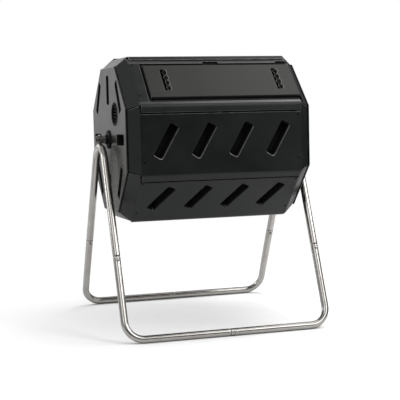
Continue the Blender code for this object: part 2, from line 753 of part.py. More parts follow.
def hub_bushes():
    seat = DRUM_END + FIT_GAP
    bore = AXLE_RADIUS + HUB_CLEARANCE
    spigot = HUB_HOLE_RADIUS - FIT_GAP
    profile = [
        (bore, seat + HUB_BOSS_LENGTH),
        (HUB_BOSS_RADIUS, seat + HUB_BOSS_LENGTH),
        (HUB_BOSS_RADIUS, seat + HUB_FLANGE),
        (HUB_FLANGE_RADIUS, seat + HUB_FLANGE),
        (HUB_FLANGE_RADIUS, seat),
        (spigot, seat),
        (spigot, seat - HUB_SPIGOT_LENGTH),
        (bore, seat - HUB_SPIGOT_LENGTH),
    ]
    mesh = mesh_from(turned(profile), "hub_bush")
    copies({"right_hub_bush": (0, 0, 0), "left_hub_bush": (0, 0, math.pi)}, mesh, HUB_PLASTIC, DRUM_PIVOT)


def divider():
    """The wall between the chambers, with a rim along the panels and a sleeve round the axle."""
    reach = SKIN - CAP_DEPTH
    rim = DIVIDER_RIM / 2
    wall = DIVIDER_WALL / 2
    profile = [
        (0, wall),
        (reach - DIVIDER_WALL, wall),
        (reach - DIVIDER_WALL, rim),
        (reach, rim),
        (reach, -rim),
        (reach - DIVIDER_WALL, -rim),
        (reach - DIVIDER_WALL, -wall),
        (0, -wall),
    ]
    bore = AXLE_RADIUS + HUB_CLEARANCE
    outer = bore + SLEEVE_WALL
    hole = rod(outer + FIT_GAP, OUTSIDE, spun(math.pi / 2, "Y"))
    cuts = joined([tray_room(-DIVIDER_RIM, DIVIDER_RIM), hole])
    plate = mesh_from(octagonal(profile, False), "divider_panel")
    piece("divider_panel", combine("divider_panel", plate, [("DIFFERENCE", cuts)]), CAP_PLASTIC, DRUM_PIVOT)
    half = SLEEVE_LENGTH / 2
    seat = wall + FIT_GAP
    sleeve = [
        (bore, half),
        (outer, half),
        (outer, seat + SLEEVE_FLANGE),
        (SLEEVE_FLANGE_RADIUS, seat + SLEEVE_FLANGE),
        (SLEEVE_FLANGE_RADIUS, seat),
        (outer, seat),
        (outer, -half),
        (bore, -half),
    ]
    piece("divider_sleeve", mesh_from(turned(sleeve), "divider_sleeve"), HUB_PLASTIC, DRUM_PIVOT)


def bar_along(points, radii, tilt):
    """A round bar along a path of points, with a radius at each point."""
    curve = bpy.data.curves.new("bar", "CURVE")
    curve.dimensions = "3D"
    curve.bevel_depth = 1
    curve.bevel_resolution = (TUBE_SIDES - 4) // 2
    curve.use_fill_caps = True
    line = curve.splines.new("POLY")
    line.points.add(len(points) - 1)
    for spot, point, radius in zip(line.points, points, radii):
        spot.co = (*point, 1)
        spot.radius = radius
        spot.tilt = tilt
    obj = bpy.data.objects.new("bar", curve)
    CUTTERS.objects.link(obj)
    mesh = evaluated_mesh(obj, "bar")
    bpy.data.curves.remove(curve)
    bm = bmesh.new()
    bm.from_mesh(mesh)
    bpy.data.meshes.remove(mesh)
    bmesh.ops.remove_doubles(bm, verts=bm.verts, dist=MERGE_DISTANCE)
    return bm


def tube(name, points, radii, holes, tilt=math.pi / TUBE_SIDES):
    """A tube along a path with open ends and cross holes."""
    wall = TUBE_WALL
    first = Vector(points[0])
    last = Vector(points[-1])
    beyond_first = first + (first - Vector(points[1])).normalized() * wall
    beyond_last = last + (last - Vector(points[-2])).normalized() * wall
    bore_points = [beyond_first, *points[1:-1], beyond_last]
    bore = bar_along(bore_points, [radius - wall for radius in radii], tilt)
    drilled = joined(rod(BOLT_RADIUS + BOLT_CLEARANCE, OUTSIDE, place, BOLT_STEPS) for place in holes)
    base = mesh_from(bar_along(points, radii, tilt), name)
    mesh = combine(name, base, [("DIFFERENCE", bore), ("DIFFERENCE", drilled)])
    piece(name, mesh, STAND_ZINC)


def leg_direction(depth_side):
    """Down one leg: depth_side is -1 for the front and 1 for the rear."""
    return Vector((0, depth_side * math.sin(LEG_ANGLE), -math.cos(LEG_ANGLE)))


def leg_joint(side, depth_side):
    down = leg_direction(depth_side)
    return Vector((side * STAND_HALF_WIDTH, 0, LEG_MEET)) + down * (LEG_MEET - LEG_JOINT_HEIGHT) / -down.z


def leg_bolt(side, depth_side):
    """The middle of a leg's bolt, and the way its head faces."""
    down = leg_direction(depth_side)
    outward = Vector((0, depth_side * math.cos(LEG_ANGLE), math.sin(LEG_ANGLE)))
    return leg_joint(side, depth_side) + down * LEG_BOLT_FROM_JOINT, outward


def bar_bolt(depth_side):
    """The middle of a floor bar's bolt, and the way its head faces."""
    middle = Vector((-depth_side * BAR_BOLT_FROM_JOINT, depth_side * FOOT_HALF_DEPTH, FOOT_HEIGHT))
    return middle, Vector((0, depth_side, 0))


def across(bolt):
    """The place of a hole along a bolt."""
    middle, outward = bolt
    return aimed(middle, outward) @ spun(math.pi / 2, "Y")


SPIGOT_RADIUS = TUBE_RADIUS - TUBE_WALL - SPIGOT_CLEARANCE


def apex_tubes():
    """Each end frame's upper tube: bent over at the top, with a narrowed end down each leg."""
    for name, side in (("left_apex_tube", -1), ("right_apex_tube", 1)):
        x = side * STAND_HALF_WIDTH
        arc_centre = Vector((x, 0, LEG_MEET - APEX_BEND / math.sin(LEG_ANGLE)))
        points = []
        reach = math.pi / 2 - LEG_ANGLE
        for step in range(-BEND_STEPS, BEND_STEPS + 1):
            turn = reach * step / BEND_STEPS
            points.append(arc_centre + APEX_BEND * Vector((0, math.sin(turn), math.cos(turn))))
        radii = [TUBE_RADIUS] * len(points)
        for depth_side in (-1, 1):
            down = leg_direction(depth_side)
            joint = leg_joint(side, depth_side)
            end = [joint - down * SWAGE_LENGTH, joint, joint + down * SPIGOT_LENGTH]
            end_radii = [TUBE_RADIUS, SPIGOT_RADIUS, SPIGOT_RADIUS]
            if depth_side == -1:
                points = end[::-1] + points
                radii = end_radii[::-1] + radii
            else:
                points = points + end
                radii = radii + end_radii
        holes = [across(leg_bolt(side, depth_side)) for depth_side in (-1, 1)]
        holes.append(shifted((x, 0, AXLE_HEIGHT - AXLE_RADIUS - TUBE_RADIUS)))
        tube(name, points, radii, holes)


def corner_tubes():
    """Each lower leg with its bend into half of a floor bar. One of each pair slides into the other."""
    names = {
        "front_left_corner_tube": (-1, -1),
        "front_right_corner_tube": (1, -1),
        "rear_left_corner_tube": (-1, 1),
        "rear_right_corner_tube": (1, 1),
    }
    for name, (side, depth_side) in names.items():
        down = leg_direction(depth_side)
        along = Vector((-side, 0, 0))
        corner = Vector((side * STAND_HALF_WIDTH, depth_side * FOOT_HALF_DEPTH, FOOT_HEIGHT))
        centre = corner - down * FOOT_BEND + along * FOOT_BEND
        points = [leg_joint(side, depth_side) + down * FIT_GAP]
        for step in range(BEND_STEPS + 1):
            turn = math.pi / 2 * step / BEND_STEPS
            points.append(centre + FOOT_BEND * (down * math.sin(turn) - along * math.cos(turn)))
        radii = [TUBE_RADIUS] * len(points)
        joint = Vector((0, corner.y, corner.z))
        if side == depth_side:
            points += [joint - along * SWAGE_LENGTH, joint, joint + along * SPIGOT_LENGTH]
            radii += [TUBE_RADIUS, SPIGOT_RADIUS, SPIGOT_RADIUS]
        else:
            points.append(joint - along * FIT_GAP)
            radii.append(TUBE_RADIUS)
        holes = [across(leg_bolt(side, depth_side)), across(bar_bolt(depth_side))]
        tube(name, points, radii, holes, math.pi / TUBE_SIDES + side * depth_side * LEG_ANGLE)


def axle():
    bore = rod(AXLE_RADIUS - AXLE_WALL, AXLE_LENGTH + OUTSIDE, spun(math.pi / 2, "Y"))
    holes = joined(
        rod(BOLT_RADIUS + BOLT_CLEARANCE, OUTSIDE, shifted((side * STAND_HALF_WIDTH, 0, 0)), BOLT_STEPS)
        for side in (-1, 1)
    )
    base = mesh_from(rod(AXLE_RADIUS, AXLE_LENGTH, spun(math.pi / 2, "Y")), "axle")
    mesh = combine("axle", base, [("DIFFERENCE", bore), ("DIFFERENCE", holes)])
    mesh.transform(shifted((0, 0, AXLE_HEIGHT)))
    piece("axle", mesh, STAND_ZINC)


def bolt_and_nut(name, seat, outward, grip):
    """A domed bolt with its head's seat at a point, and the nut on the far side of what it holds."""
    profile = []
    for step in range(DOME_STEPS, -1, -1):
        turn = math.pi / 2 * step / DOME_STEPS
        profile.append((BOLT_HEAD_RADIUS * math.cos(turn), FIT_GAP + BOLT_HEAD_HEIGHT * math.sin(turn)))
    profile += [(BOLT_RADIUS, FIT_GAP), (BOLT_RADIUS, -grip - BOLT_TAIL), (0, -grip - BOLT_TAIL)]
    place = aimed(seat, outward)
    bolt = placed(turned(profile, BOLT_STEPS, ring=False), place)
    piece(f"{name}_bolt", mesh_from(bolt, f"{name}_bolt"), FASTENER_ZINC)
    nut_at = place @ shifted((-grip - FIT_GAP - NUT_HEIGHT / 2, 0, 0)) @ spun(math.pi / 2, "Y")
    hexagon = rod(NUT_ACROSS_FLATS / 2 / math.cos(math.pi / 6), NUT_HEIGHT, nut_at, 6)
    thread = rod(BOLT_RADIUS + BOLT_CLEARANCE, 2 * NUT_HEIGHT, nut_at, BOLT_STEPS)
    nut = combine(f"{name}_nut", mesh_from(hexagon, f"{name}_nut"), [("DIFFERENCE", thread)])
    piece(f"{name}_nut", nut, FASTENER_ZINC)


def stand_fasteners():
    sides = {"left": -1, "right": 1}
    depths = {"front": -1, "rear": 1}
    for depth_name, depth_side in depths.items():
        for side_name, side in sides.items():
            middle, outward = leg_bolt(side, depth_side)
            name = f"{depth_name}_{side_name}_leg"
            bolt_and_nut(name, middle + outward * TUBE_RADIUS, outward, 2 * TUBE_RADIUS)
        middle, outward = bar_bolt(depth_side)
        bolt_and_nut(f"{depth_name}_bar", middle + outward * TUBE_RADIUS, outward, 2 * TUBE_RADIUS)
    held = 2 * (AXLE_RADIUS + TUBE_RADIUS) + FIT_GAP
    for side_name, side in sides.items():
        top = Vector((side * STAND_HALF_WIDTH, 0, AXLE_HEIGHT + AXLE_RADIUS))
        bolt_and_nut(f"{side_name}_axle", top, Vector((0, 0, 1)), held)


side_panels()
door_frame()
sliding_door()
end_caps()
vents()
hub_bushes()
divider()
apex_tubes()
corner_tubes()
axle()
stand_fasteners()
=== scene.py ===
import math

import bmesh
import bpy
from mathutils import Matrix, Vector


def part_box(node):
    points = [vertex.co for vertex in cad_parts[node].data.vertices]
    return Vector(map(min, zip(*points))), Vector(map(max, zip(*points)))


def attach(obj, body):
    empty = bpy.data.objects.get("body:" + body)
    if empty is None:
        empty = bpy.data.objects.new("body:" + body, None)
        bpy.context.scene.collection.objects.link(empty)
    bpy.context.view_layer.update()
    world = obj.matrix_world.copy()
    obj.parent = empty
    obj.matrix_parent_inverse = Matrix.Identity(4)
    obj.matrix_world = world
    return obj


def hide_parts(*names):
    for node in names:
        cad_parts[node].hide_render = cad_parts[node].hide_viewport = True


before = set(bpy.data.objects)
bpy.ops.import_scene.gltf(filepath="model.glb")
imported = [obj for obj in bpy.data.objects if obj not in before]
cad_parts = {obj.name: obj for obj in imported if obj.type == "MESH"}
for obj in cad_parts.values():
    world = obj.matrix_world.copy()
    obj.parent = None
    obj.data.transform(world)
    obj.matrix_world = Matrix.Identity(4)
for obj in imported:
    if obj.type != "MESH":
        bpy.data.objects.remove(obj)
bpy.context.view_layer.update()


# Side panels
# Seven black panels of moulded polypropylene with four slanted pockets each, which mix the compost inside.
# Each is one injection moulding with a fine spark-eroded grain. Its lower edge folds over the next panel.
# Its corners are nearly sharp, and the rims of the pockets are rounder and paler: rubbed by handling,
# and a painted highlight where they face up. The pockets are painted darker with depth, as shade.
PANEL_FACETS = {
    "top_panel": 0,
    "front_panel": 2,
    "lower_front_panel": 3,
    "bottom_panel": 4,
    "lower_rear_panel": 5,
    "rear_panel": 6,
    "upper_rear_panel": 7,
}
DOOR_FACET = 1
AXLE_HEIGHT = 0.625
DRUM_TILT = math.radians(2.2)
DRUM_END = 0.3133
PANEL_FACE = 0.269
PANEL_TOP = 0.098
PANEL_END = 0.3070
CHAMFER_FACE = 0.381
CHAMFER_ALONG = 0.644
CHAMFER_OUT = 0.765
FLUSH = 0.0004
POCKETS_HALF_LENGTH = 0.250
POCKETS_HALF_HEIGHT = 0.080
POCKET_RIM = 0.0026
POCKET_RIM_TURN = 0.5
PANEL_EDGE = 0.0012
SEAM_OPENING = 0.0178
LOW_SEAM_OPENING = 0.0235
REAR_SEAM_OPENING = 0.0080
SEAM_SKIN = 0.262
SEAM_HALF_LENGTH = 0.2712
END_SEAM_OPENING = 0.0042
END_SKIN = 0.22
TOP_WRAP_EDGE = (0.0845, 0.0860)
TOP_WRAP_SKIN = 0.270
TOP_WRAP_SHORTER = 0.0042
FLANGE_LAP = 0.004
FLANGE_INNER_END = 0.006
FLANGE_OUTER_END = 0.262
FLANGE_SEAT = 0.2595
FLANGE_THICKNESS = 0.0025
MERGED_WITHIN = 0.00001
FLAT_WITHIN = math.radians(0.8)
ROUNDED_ABOVE = math.radians(32)
MOULDING_SMOOTH_BELOW = math.radians(50)
SMOOTH_BELOW = math.radians(40)
PANEL_FINISH = {
    "deep": (0.0042, 0.0060, 0.0060),
    "chalk": (0.0085, 0.0105, 0.0102),
    "gloss": (0.34, 0.44),
    "grain_depth": 0.00006,
    "dust": 0.010,
    "scuffs": 0.3,
    "edge_wear_and_highlight": 0.8,
}
# Painted shade: pockets and recesses go dark with depth below the drum's faces, between these two depths.
POCKET_SHADE_DEPTHS = (0.0035, 0.013)
DUST = (0.115, 0.108, 0.098, 1)
# Pale colour for rounded edges: partly wear, partly a painted highlight.
WEAR_AND_HIGHLIGHT_PALE = (0.34, 0.34, 0.33, 1)
# The near-black colour of the painted shade.
PAINTED_SHADE = (0.0022, 0.0026, 0.0024, 1)
SCUFF_PALENESS = 0.35
SCUFF_POLISH = 0.12
RECESS_DULLNESS = 0.45


def node(tree, kind, values=None, **settings):
    """A node with its settings, and a value or a link for each input that is named or numbered."""
    made = tree.nodes.new(kind)
    for label, setting in settings.items():
        setattr(made, label, setting)
    for label, value in (values or {}).items():
        if isinstance(value, bpy.types.NodeSocket):
            tree.links.new(value, made.inputs[label])
        else:
            made.inputs[label].default_value = value
    return made


def math_node(tree, operation, *values):
    """A sum, product, largest value or the like. With three values or more it goes on from the first two."""
    if len(values) > 2:
        return math_node(tree, operation, math_node(tree, operation, *values[:-1]), values[-1])
    return node(tree, "ShaderNodeMath", dict(enumerate(values)), operation=operation).outputs[0]


def blend_node(tree, amount, first, second):
    """A mix of two colours."""
    mixed = node(tree, "ShaderNodeMix", {0: amount, 6: first, 7: second}, data_type="RGBA")
    return mixed.outputs[2]


def remap(tree, value, low, high, least=0.0, most=1.0, soft=False):
    """The least where a value is low, the most where it is high, and evenly or softly between them."""
    spread = node(
        tree,
        "ShaderNodeMapRange",
        {"Value": value, "From Min": low, "From Max": high, "To Min": least, "To Max": most},
        interpolation_type="SMOOTHSTEP" if soft else "LINEAR",
    )
    return spread.outputs[0]


def noise(tree, place, scale, detail, roughness=0.5):
    """Cloudy noise, from 0 to 1."""
    values = {"Vector": place, "Scale": scale, "Detail": detail, "Roughness": roughness}
    return node(tree, "ShaderNodeTexNoise", values).outputs["Fac"]


def object_place(tree):
    return node(tree, "ShaderNodeTexCoord").outputs["Object"]


def about_axle(tree, angle):
    """A point's place from the middle of the axle, turned about the axle by an angle."""
    values = {"Vector": object_place(tree), "Location": (0, 0, -AXLE_HEIGHT)}
    centred = node(tree, "ShaderNodeMapping", values).outputs[0]
    values = {"Vector": centred, "Angle": angle}
    return node(tree, "ShaderNodeVectorRotate", values, rotation_type="X_AXIS").outputs[0]


def faces(tree, axis):
    """How much a surface faces along an axis, from -1 to 1."""
    normal = node(tree, "ShaderNodeNewGeometry").outputs["Normal"]
    return node(tree, "ShaderNodeSeparateXYZ", {0: normal}).outputs[axis]


def rounded_edge(tree):
    """1 on the rounded edges of a moulding, and 0 elsewhere."""
    mark = node(tree, "ShaderNodeAttribute", attribute_name="rounded_edge", attribute_type="GEOMETRY")
    return mark.outputs["Fac"]


def mask_group(name, inputs, outputs):
    """An empty node group with its inputs and their values, and the masks or heights that it puts out."""
    group = bpy.data.node_groups.new(name, "ShaderNodeTree")
    for label, value in inputs.items():
        socket = group.interface.new_socket(label, in_out="INPUT", socket_type="NodeSocketFloat")
        socket.default_value = value
    for label in outputs:
        group.interface.new_socket(label, in_out="OUTPUT", socket_type="NodeSocketFloat")
    return group, group.nodes.new("NodeGroupInput"), group.nodes.new("NodeGroupOutput")


def mould_grain():
    """The fine pebbled grain of a spark-eroded mould, with slow patches where it is worn smoother."""
    group, given, out = mask_group(
        "mould_grain", {"Grains per metre": 900.0, "Patches per metre": 9.0}, ("Height", "Patches")
    )
    place = object_place(group)
    grains = given.outputs["Grains per metre"]
    pebbles = node(group, "ShaderNodeTexVoronoi", {"Vector": place, "Scale": grains}, feature="SMOOTH_F1")
    pebbles = math_node(group, "MULTIPLY", pebbles.outputs["Distance"], 0.6)
    height = math_node(group, "ADD", pebbles, noise(group, place, grains, 3.0))
    group.links.new(height, out.inputs["Height"])
    patches = noise(group, place, given.outputs["Patches per metre"], 5.0, 0.62)
    group.links.new(remap(group, patches, 0.32, 0.68), out.inputs["Patches"])
    return group


def handling_marks():
    """Thin scuffs that run mostly along the drum, and a film of dust that gathers on what faces up."""
    group, given, out = mask_group("handling_marks", {"Scuffs": 0.5, "Dust": 0.5}, ("Scuffs", "Dust"))
    place = object_place(group)
    scuffs = []
    for stretch, turn in (((6.0, 240.0, 240.0), 0.12), ((11.0, 420.0, 180.0), -0.35)):
        values = {"Vector": place, "Rotation": (turn, turn, turn), "Scale": stretch}
        laid = node(group, "ShaderNodeMapping", values).outputs[0]
        scuffs.append(remap(group, noise(group, laid, 1.0, 2.0), 0.66, 0.78))
    where = remap(group, noise(group, place, 5.0, 3.0), 0.45, 0.65)
    scuffs = math_node(group, "MAXIMUM", *scuffs)
    scuffs = math_node(group, "MULTIPLY", scuffs, where, given.outputs["Scuffs"])
    group.links.new(scuffs, out.inputs["Scuffs"])
    settled = remap(group, faces(group, "Z"), -0.2, 1.0)
    motes = noise(group, place, 60.0, 6.0, 0.7)
    group.links.new(math_node(group, "MULTIPLY", settled, motes, given.outputs["Dust"]), out.inputs["Dust"])
    return group


def pocket_depth():
    """How deep a point lies below the drum's faces, ends and chamfers, and what stands proud of them."""
    group, given, out = mask_group(
        "pocket_depth", {"Starts at": 0.004, "Full at": 0.016}, ("Depth", "Proud")
    )
    split = node(group, "ShaderNodeSeparateXYZ", {0: about_axle(group, DRUM_TILT)})
    along, depth, height = (math_node(group, "ABSOLUTE", split.outputs[axis]) for axis in range(3))
    slanted = math_node(group, "MULTIPLY", math_node(group, "ADD", depth, height), math.sqrt(0.5))
    reach = math_node(group, "MAXIMUM", depth, height, slanted)
    corner_along = math_node(group, "MULTIPLY", along, CHAMFER_ALONG)
    corner_reach = math_node(group, "ADD", corner_along, math_node(group, "MULTIPLY", reach, CHAMFER_OUT))
    below = math_node(
        group,
        "MINIMUM",
        math_node(group, "SUBTRACT", PANEL_FACE, reach),
        math_node(group, "SUBTRACT", DRUM_END, along),
        math_node(group, "SUBTRACT", CHAMFER_FACE, corner_reach),
    )
    deep = remap(group, below, given.outputs["Starts at"], given.outputs["Full at"], soft=True)
    group.links.new(deep, out.inputs["Depth"])
    group.links.new(remap(group, below, -0.0004, -0.0014), out.inputs["Proud"])
    return group


def worn_and_lit_edges():
    """Where rounded edges are paler, in stretches: a painted highlight most where they face up, and wear
    where they stand proud.
    """
    group, given, out = mask_group("worn_and_lit_edges", {"Wear and highlight": 0.5, "Proud": 0.0}, ("Wear and highlight",))
    # Painted highlight: edges that face up are made paler.
    upward = remap(group, faces(group, "Z"), 0.05, 0.60, least=0.04)
    proud = math_node(group, "MULTIPLY", given.outputs["Proud"], 0.45)
    open_side = math_node(group, "MAXIMUM", upward, proud)
    breaks = remap(group, noise(group, object_place(group), 45.0, 4.0), 0.3, 0.6, least=0.4)
    worn = math_node(group, "MULTIPLY", rounded_edge(group), open_side, breaks, given.outputs["Wear and highlight"])
    group.links.new(worn, out.inputs["Wear and highlight"])
    return group


MOULD_GRAIN = mould_grain()
HANDLING_MARKS = handling_marks()
POCKET_DEPTH = pocket_depth()
WORN_AND_LIT_EDGES = worn_and_lit_edges()


def new_finish(name, metallic=0.0):
    """A material, its node tree and its shader."""
    made = bpy.data.materials.new(name)
    made.use_nodes = True
    shader = made.node_tree.nodes["Principled BSDF"]
    shader.inputs["Metallic"].default_value = metallic
    return made, made.node_tree, shader


def surface(tree, shader, colour, roughness, height, strength, depth):
    """Gives a finish its colour, its roughness and the relief of its surface."""
    tree.links.new(colour, shader.inputs["Base Color"])
    tree.links.new(roughness, shader.inputs["Roughness"])
    relief = node(tree, "ShaderNodeBump", {"Height": height, "Strength": strength, "Distance": depth})
    tree.links.new(relief.outputs[0], shader.inputs["Normal"])


def moulded_plastic(name, deep, chalk, gloss, grain_depth, dust, scuffs, edge_wear_and_highlight, shade_depths):
    """Black moulded plastic with grain, scuffs, a little dust, pale edges and painted shade in its pockets.

    Slow patches take its colour from deep to chalk, and its roughness from one end of gloss to the other.
    Edges are paler by wear, and by a painted highlight where they face up. Shade depths are how far below
    the drum's faces the painted shade in the pockets starts, and where it is darkest.
    """
    made, tree, shader = new_finish(name)
    grain = node(tree, "ShaderNodeGroup", node_tree=MOULD_GRAIN)
    marks = node(tree, "ShaderNodeGroup", {"Scuffs": scuffs, "Dust": dust}, node_tree=HANDLING_MARKS)
    values = {"Starts at": shade_depths[0], "Full at": shade_depths[1]}
    pocket = node(tree, "ShaderNodeGroup", values, node_tree=POCKET_DEPTH)
    values = {"Wear and highlight": edge_wear_and_highlight, "Proud": pocket.outputs["Proud"]}
    edges = node(tree, "ShaderNodeGroup", values, node_tree=WORN_AND_LIT_EDGES)
    patches, scuffed, sunk = grain.outputs["Patches"], marks.outputs["Scuffs"], pocket.outputs["Depth"]
    colour = blend_node(tree, patches, (*deep, 1), (*chalk, 1))
    colour = blend_node(tree, marks.outputs["Dust"], colour, DUST)
    colour = blend_node(tree, math_node(tree, "MULTIPLY", scuffed, SCUFF_PALENESS), colour, DUST)
    # Painted shade: the colour goes darker with depth below the drum's faces.
    colour = blend_node(tree, sunk, colour, PAINTED_SHADE)
    outer = math_node(tree, "SUBTRACT", 1.0, sunk)
    # Rounded edges painted paler: wear where they stand proud, a painted highlight where they face up.
    colour = blend_node(tree, math_node(tree, "MULTIPLY", edges.outputs["Wear and highlight"], outer), colour, WEAR_AND_HIGHLIGHT_PALE)
    rough = remap(tree, patches, 0.0, 1.0, *gloss)
    rough = math_node(tree, "SUBTRACT", rough, math_node(tree, "MULTIPLY", scuffed, SCUFF_POLISH))
    rough = math_node(tree, "ADD", rough, math_node(tree, "MULTIPLY", sunk, RECESS_DULLNESS))
    surface(tree, shader, colour, rough, grain.outputs["Height"], 1.0, grain_depth)
    return made


def facet_angle(facet):
    """How far one of the drum's eight faces is turned from straight up."""
    return facet * math.pi / 4 - DRUM_TILT


def pocket_rim_edges(mesh):
    """The edges round the mouths of a panel's pockets: flush with its face and away from its outline."""
    turn = Matrix.Rotation(DRUM_TILT, 3, "X")
    rims = []
    for edge in mesh.edges:
        ends = [turn @ (vert.co - Vector((0, 0, AXLE_HEIGHT))) for vert in edge.verts]
        flush = True
        for end in ends:
            reach = max(abs(end.y), abs(end.z), (abs(end.y) + abs(end.z)) * math.sqrt(0.5))
            across = math.sqrt(max(end.y**2 + end.z**2 - reach**2, 0))
            inside = across < POCKETS_HALF_HEIGHT and abs(end.x) < POCKETS_HALF_LENGTH
            flush = flush and inside and abs(reach - PANEL_FACE) < FLUSH
        if flush and edge.calc_face_angle(0.0) > POCKET_RIM_TURN:
            rims.append(edge)
    return rims


def shift_on_facet(piece, facet, chosen, move):
    """Moves chosen corners of a mesh in edit mode. Corners and the move are along, up and out of a facet."""
    turn = Matrix.Rotation(facet_angle(facet), 3, "X")
    bpy.ops.mesh.select_all(action="DESELECT")
    bpy.ops.mesh.select_mode(type="VERT")
    mesh = bmesh.from_edit_mesh(piece.data)
    for vert in mesh.verts:
        vert.select_set(chosen(*(turn.inverted() @ (vert.co - Vector((0, 0, AXLE_HEIGHT))))))
    mesh.select_flush_mode()
    bmesh.update_edit_mesh(piece.data)
    bpy.ops.transform.translate(value=turn @ Vector(move))


def open_end_seams(piece, facet):
    """Draws a panel's ends back up its chamfers, which shows the dark joint between it and the end caps."""
    for side in (-1, 1):
        move = (-side * END_SEAM_OPENING * CHAMFER_OUT, 0, END_SEAM_OPENING * CHAMFER_ALONG)
        shift_on_facet(
            piece, facet, lambda along, up, out: side * along > PANEL_END and out > END_SKIN, move
        )


def at_top_seam(along, up, out):
    return abs(up - PANEL_TOP) < FLUSH and out > SEAM_SKIN and abs(along) < SEAM_HALF_LENGTH


def at_wrap_edge(along, up, out):
    return TOP_WRAP_EDGE[0] < up < TOP_WRAP_EDGE[1] and out > TOP_WRAP_SKIN


def shape_panel(piece, facet):
    """Opens the joints along a panel's top edge and ends, and rolls the rims of its pockets over."""
    opening = {2: SEAM_OPENING, 3: LOW_SEAM_OPENING}.get(facet, REAR_SEAM_OPENING)
    shift_on_facet(piece, facet, at_top_seam, (0, -opening, 0))
    if facet == 0:
        shift_on_facet(piece, DOOR_FACET, at_wrap_edge, (0, TOP_WRAP_SHORTER, 0))
    open_end_seams(piece, facet)
    bpy.ops.mesh.select_all(action="DESELECT")
    bpy.ops.mesh.select_mode(type="EDGE")
    mesh = bmesh.from_edit_mesh(piece.data)
    for rim in pocket_rim_edges(mesh):
        rim.select_set(True)
    bmesh.update_edit_mesh(piece.data)
    bpy.ops.mesh.bevel(offset=POCKET_RIM, segments=4, material=1)


def moulding(source, edge, reshape=None):
    """A copy of a moulding's solid: its flats made whole, its shape touched up and its corners rounded."""
    bpy.ops.object.select_all(action="DESELECT")
    copy = bpy.data.objects.new(f"{source}_moulding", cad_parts[source].data.copy())
    bpy.context.scene.collection.objects.link(copy)
    copy.select_set(True)
    bpy.context.view_layer.objects.active = copy
    copy.data.materials.clear()
    bpy.ops.object.mode_set(mode="EDIT")
    bpy.ops.mesh.select_all(action="SELECT")
    if copy.data.has_custom_normals:
        bpy.ops.mesh.customdata_custom_splitnormals_clear()
    bpy.ops.mesh.remove_doubles(threshold=MERGED_WITHIN)
    bpy.ops.mesh.dissolve_limited(angle_limit=FLAT_WITHIN)
    copy.data.materials.append(None)
    copy.data.materials.append(None)
    if reshape:
        reshape(copy)
    bpy.ops.object.mode_set(mode="OBJECT")
    rounded = copy.modifiers.new("mould_radius", "BEVEL")
    rounded.width = edge
    rounded.segments = 3
    rounded.limit_method = "ANGLE"
    rounded.angle_limit = ROUNDED_ABOVE
    rounded.use_clamp_overlap = False
    rounded.material = 1
    bpy.ops.object.modifier_apply(modifier=rounded.name)
    bpy.ops.object.shade_smooth_by_angle(angle=MOULDING_SMOOTH_BELOW)
    flat = copy.modifiers.new("flat_faces", "WEIGHTED_NORMAL")
    flat.keep_sharp = True
    bpy.ops.object.modifier_apply(modifier=flat.name)
    rounding = copy.data.attributes.new("rounded_edge", "FLOAT", "FACE")
    rounding.data.foreach_set("value", [float(face.material_index) for face in copy.data.polygons])
    for face in copy.data.polygons:
        face.material_index = 0
    return copy


def finished(piece, finish, body, slot, *nodes):
    """Gives a piece its material and the body it moves with, and hides the nodes that it stands for. Its
    slot is not used.
    """
    piece.data.materials.clear()
    piece.data.materials.append(finish)
    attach(piece, body)
    if nodes:
        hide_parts(*nodes)


PANEL_PLASTIC = moulded_plastic("panel_plastic", **PANEL_FINISH, shade_depths=POCKET_SHADE_DEPTHS)
for panel, facet in PANEL_FACETS.items():
    shaped = moulding(panel, PANEL_EDGE, lambda piece: shape_panel(piece, facet))
    finished(shaped, PANEL_PLASTIC, "drum", "panel_plastic", panel)

# Thin flanges tucked behind the two open front seams, so that no light comes through from the far vent.
for panel, opening in (("front_panel", SEAM_OPENING), ("lower_front_panel", LOW_SEAM_OPENING)):
    turn = facet_angle(PANEL_FACETS[panel])
    up = PANEL_TOP - (opening + FLANGE_LAP) / 2
    for side_name, side in (("left", -1), ("right", 1)):
        along = side * (FLANGE_INNER_END + FLANGE_OUTER_END) / 2
        seat = Matrix.Rotation(turn, 3, "X") @ Vector((along, up, FLANGE_SEAT))
        bpy.ops.object.select_all(action="DESELECT")
        bpy.ops.mesh.primitive_cube_add(
            size=1.0,
            location=seat + Vector((0, 0, AXLE_HEIGHT)),
            rotation=(turn, 0, 0),
            scale=(FLANGE_OUTER_END - FLANGE_INNER_END, opening + FLANGE_LAP, FLANGE_THICKNESS),
        )
        flange = bpy.context.object
        flange.name = f"{panel}_{side_name}_flange"
        bpy.ops.object.transform_apply(location=True, rotation=True, scale=True)
        bpy.ops.object.mode_set(mode="EDIT")
        bpy.ops.mesh.bevel(offset=PANEL_EDGE / 2, segments=2)
        bpy.ops.object.mode_set(mode="OBJECT")
        bpy.ops.object.shade_smooth_by_angle(angle=SMOOTH_BELOW)
        finished(flange, PANEL_PLASTIC, "drum", "panel_plastic")


# Door frame panel
# The eighth panel has the same plastic and grain, with a recess instead of pockets.
# A lip along the top and bottom of the recess holds the sliding door. Two doorways open into the chambers.
# The rail below the door and the lip above the recess carry a painted highlight.
FRAME_EDGE = 0.0010
# Painted shade in the recess round the door and in its seams, from 1 mm below the face.
FRAME_SHADE_DEPTHS = (0.001, 0.004)
RAIL_TOP = -0.0985
RAIL_FOOT = -0.1115
RAIL_ENDS = (-0.29, 0.27)
RAIL_HIGHLIGHT_RAMP = (0.10, 0.62)
RAIL_SKIN = (0.266, 0.267)
RAIL_STREAKS = (7.0, 520.0, 90.0)
RAIL_HIGHLIGHT = (0.32, 0.315, 0.31, 1)
LIP_EDGE = 0.0755
LIP_HIGHLIGHT = 0.22


def lay_paler(made, amount, pale):
    """Lays a paler colour over what a material has, by an amount from 0 to 1."""
    tree = made.node_tree
    base = tree.nodes["Principled BSDF"].inputs["Base Color"]
    tree.links.new(blend_node(tree, amount, base.links[0].from_socket, pale), base)


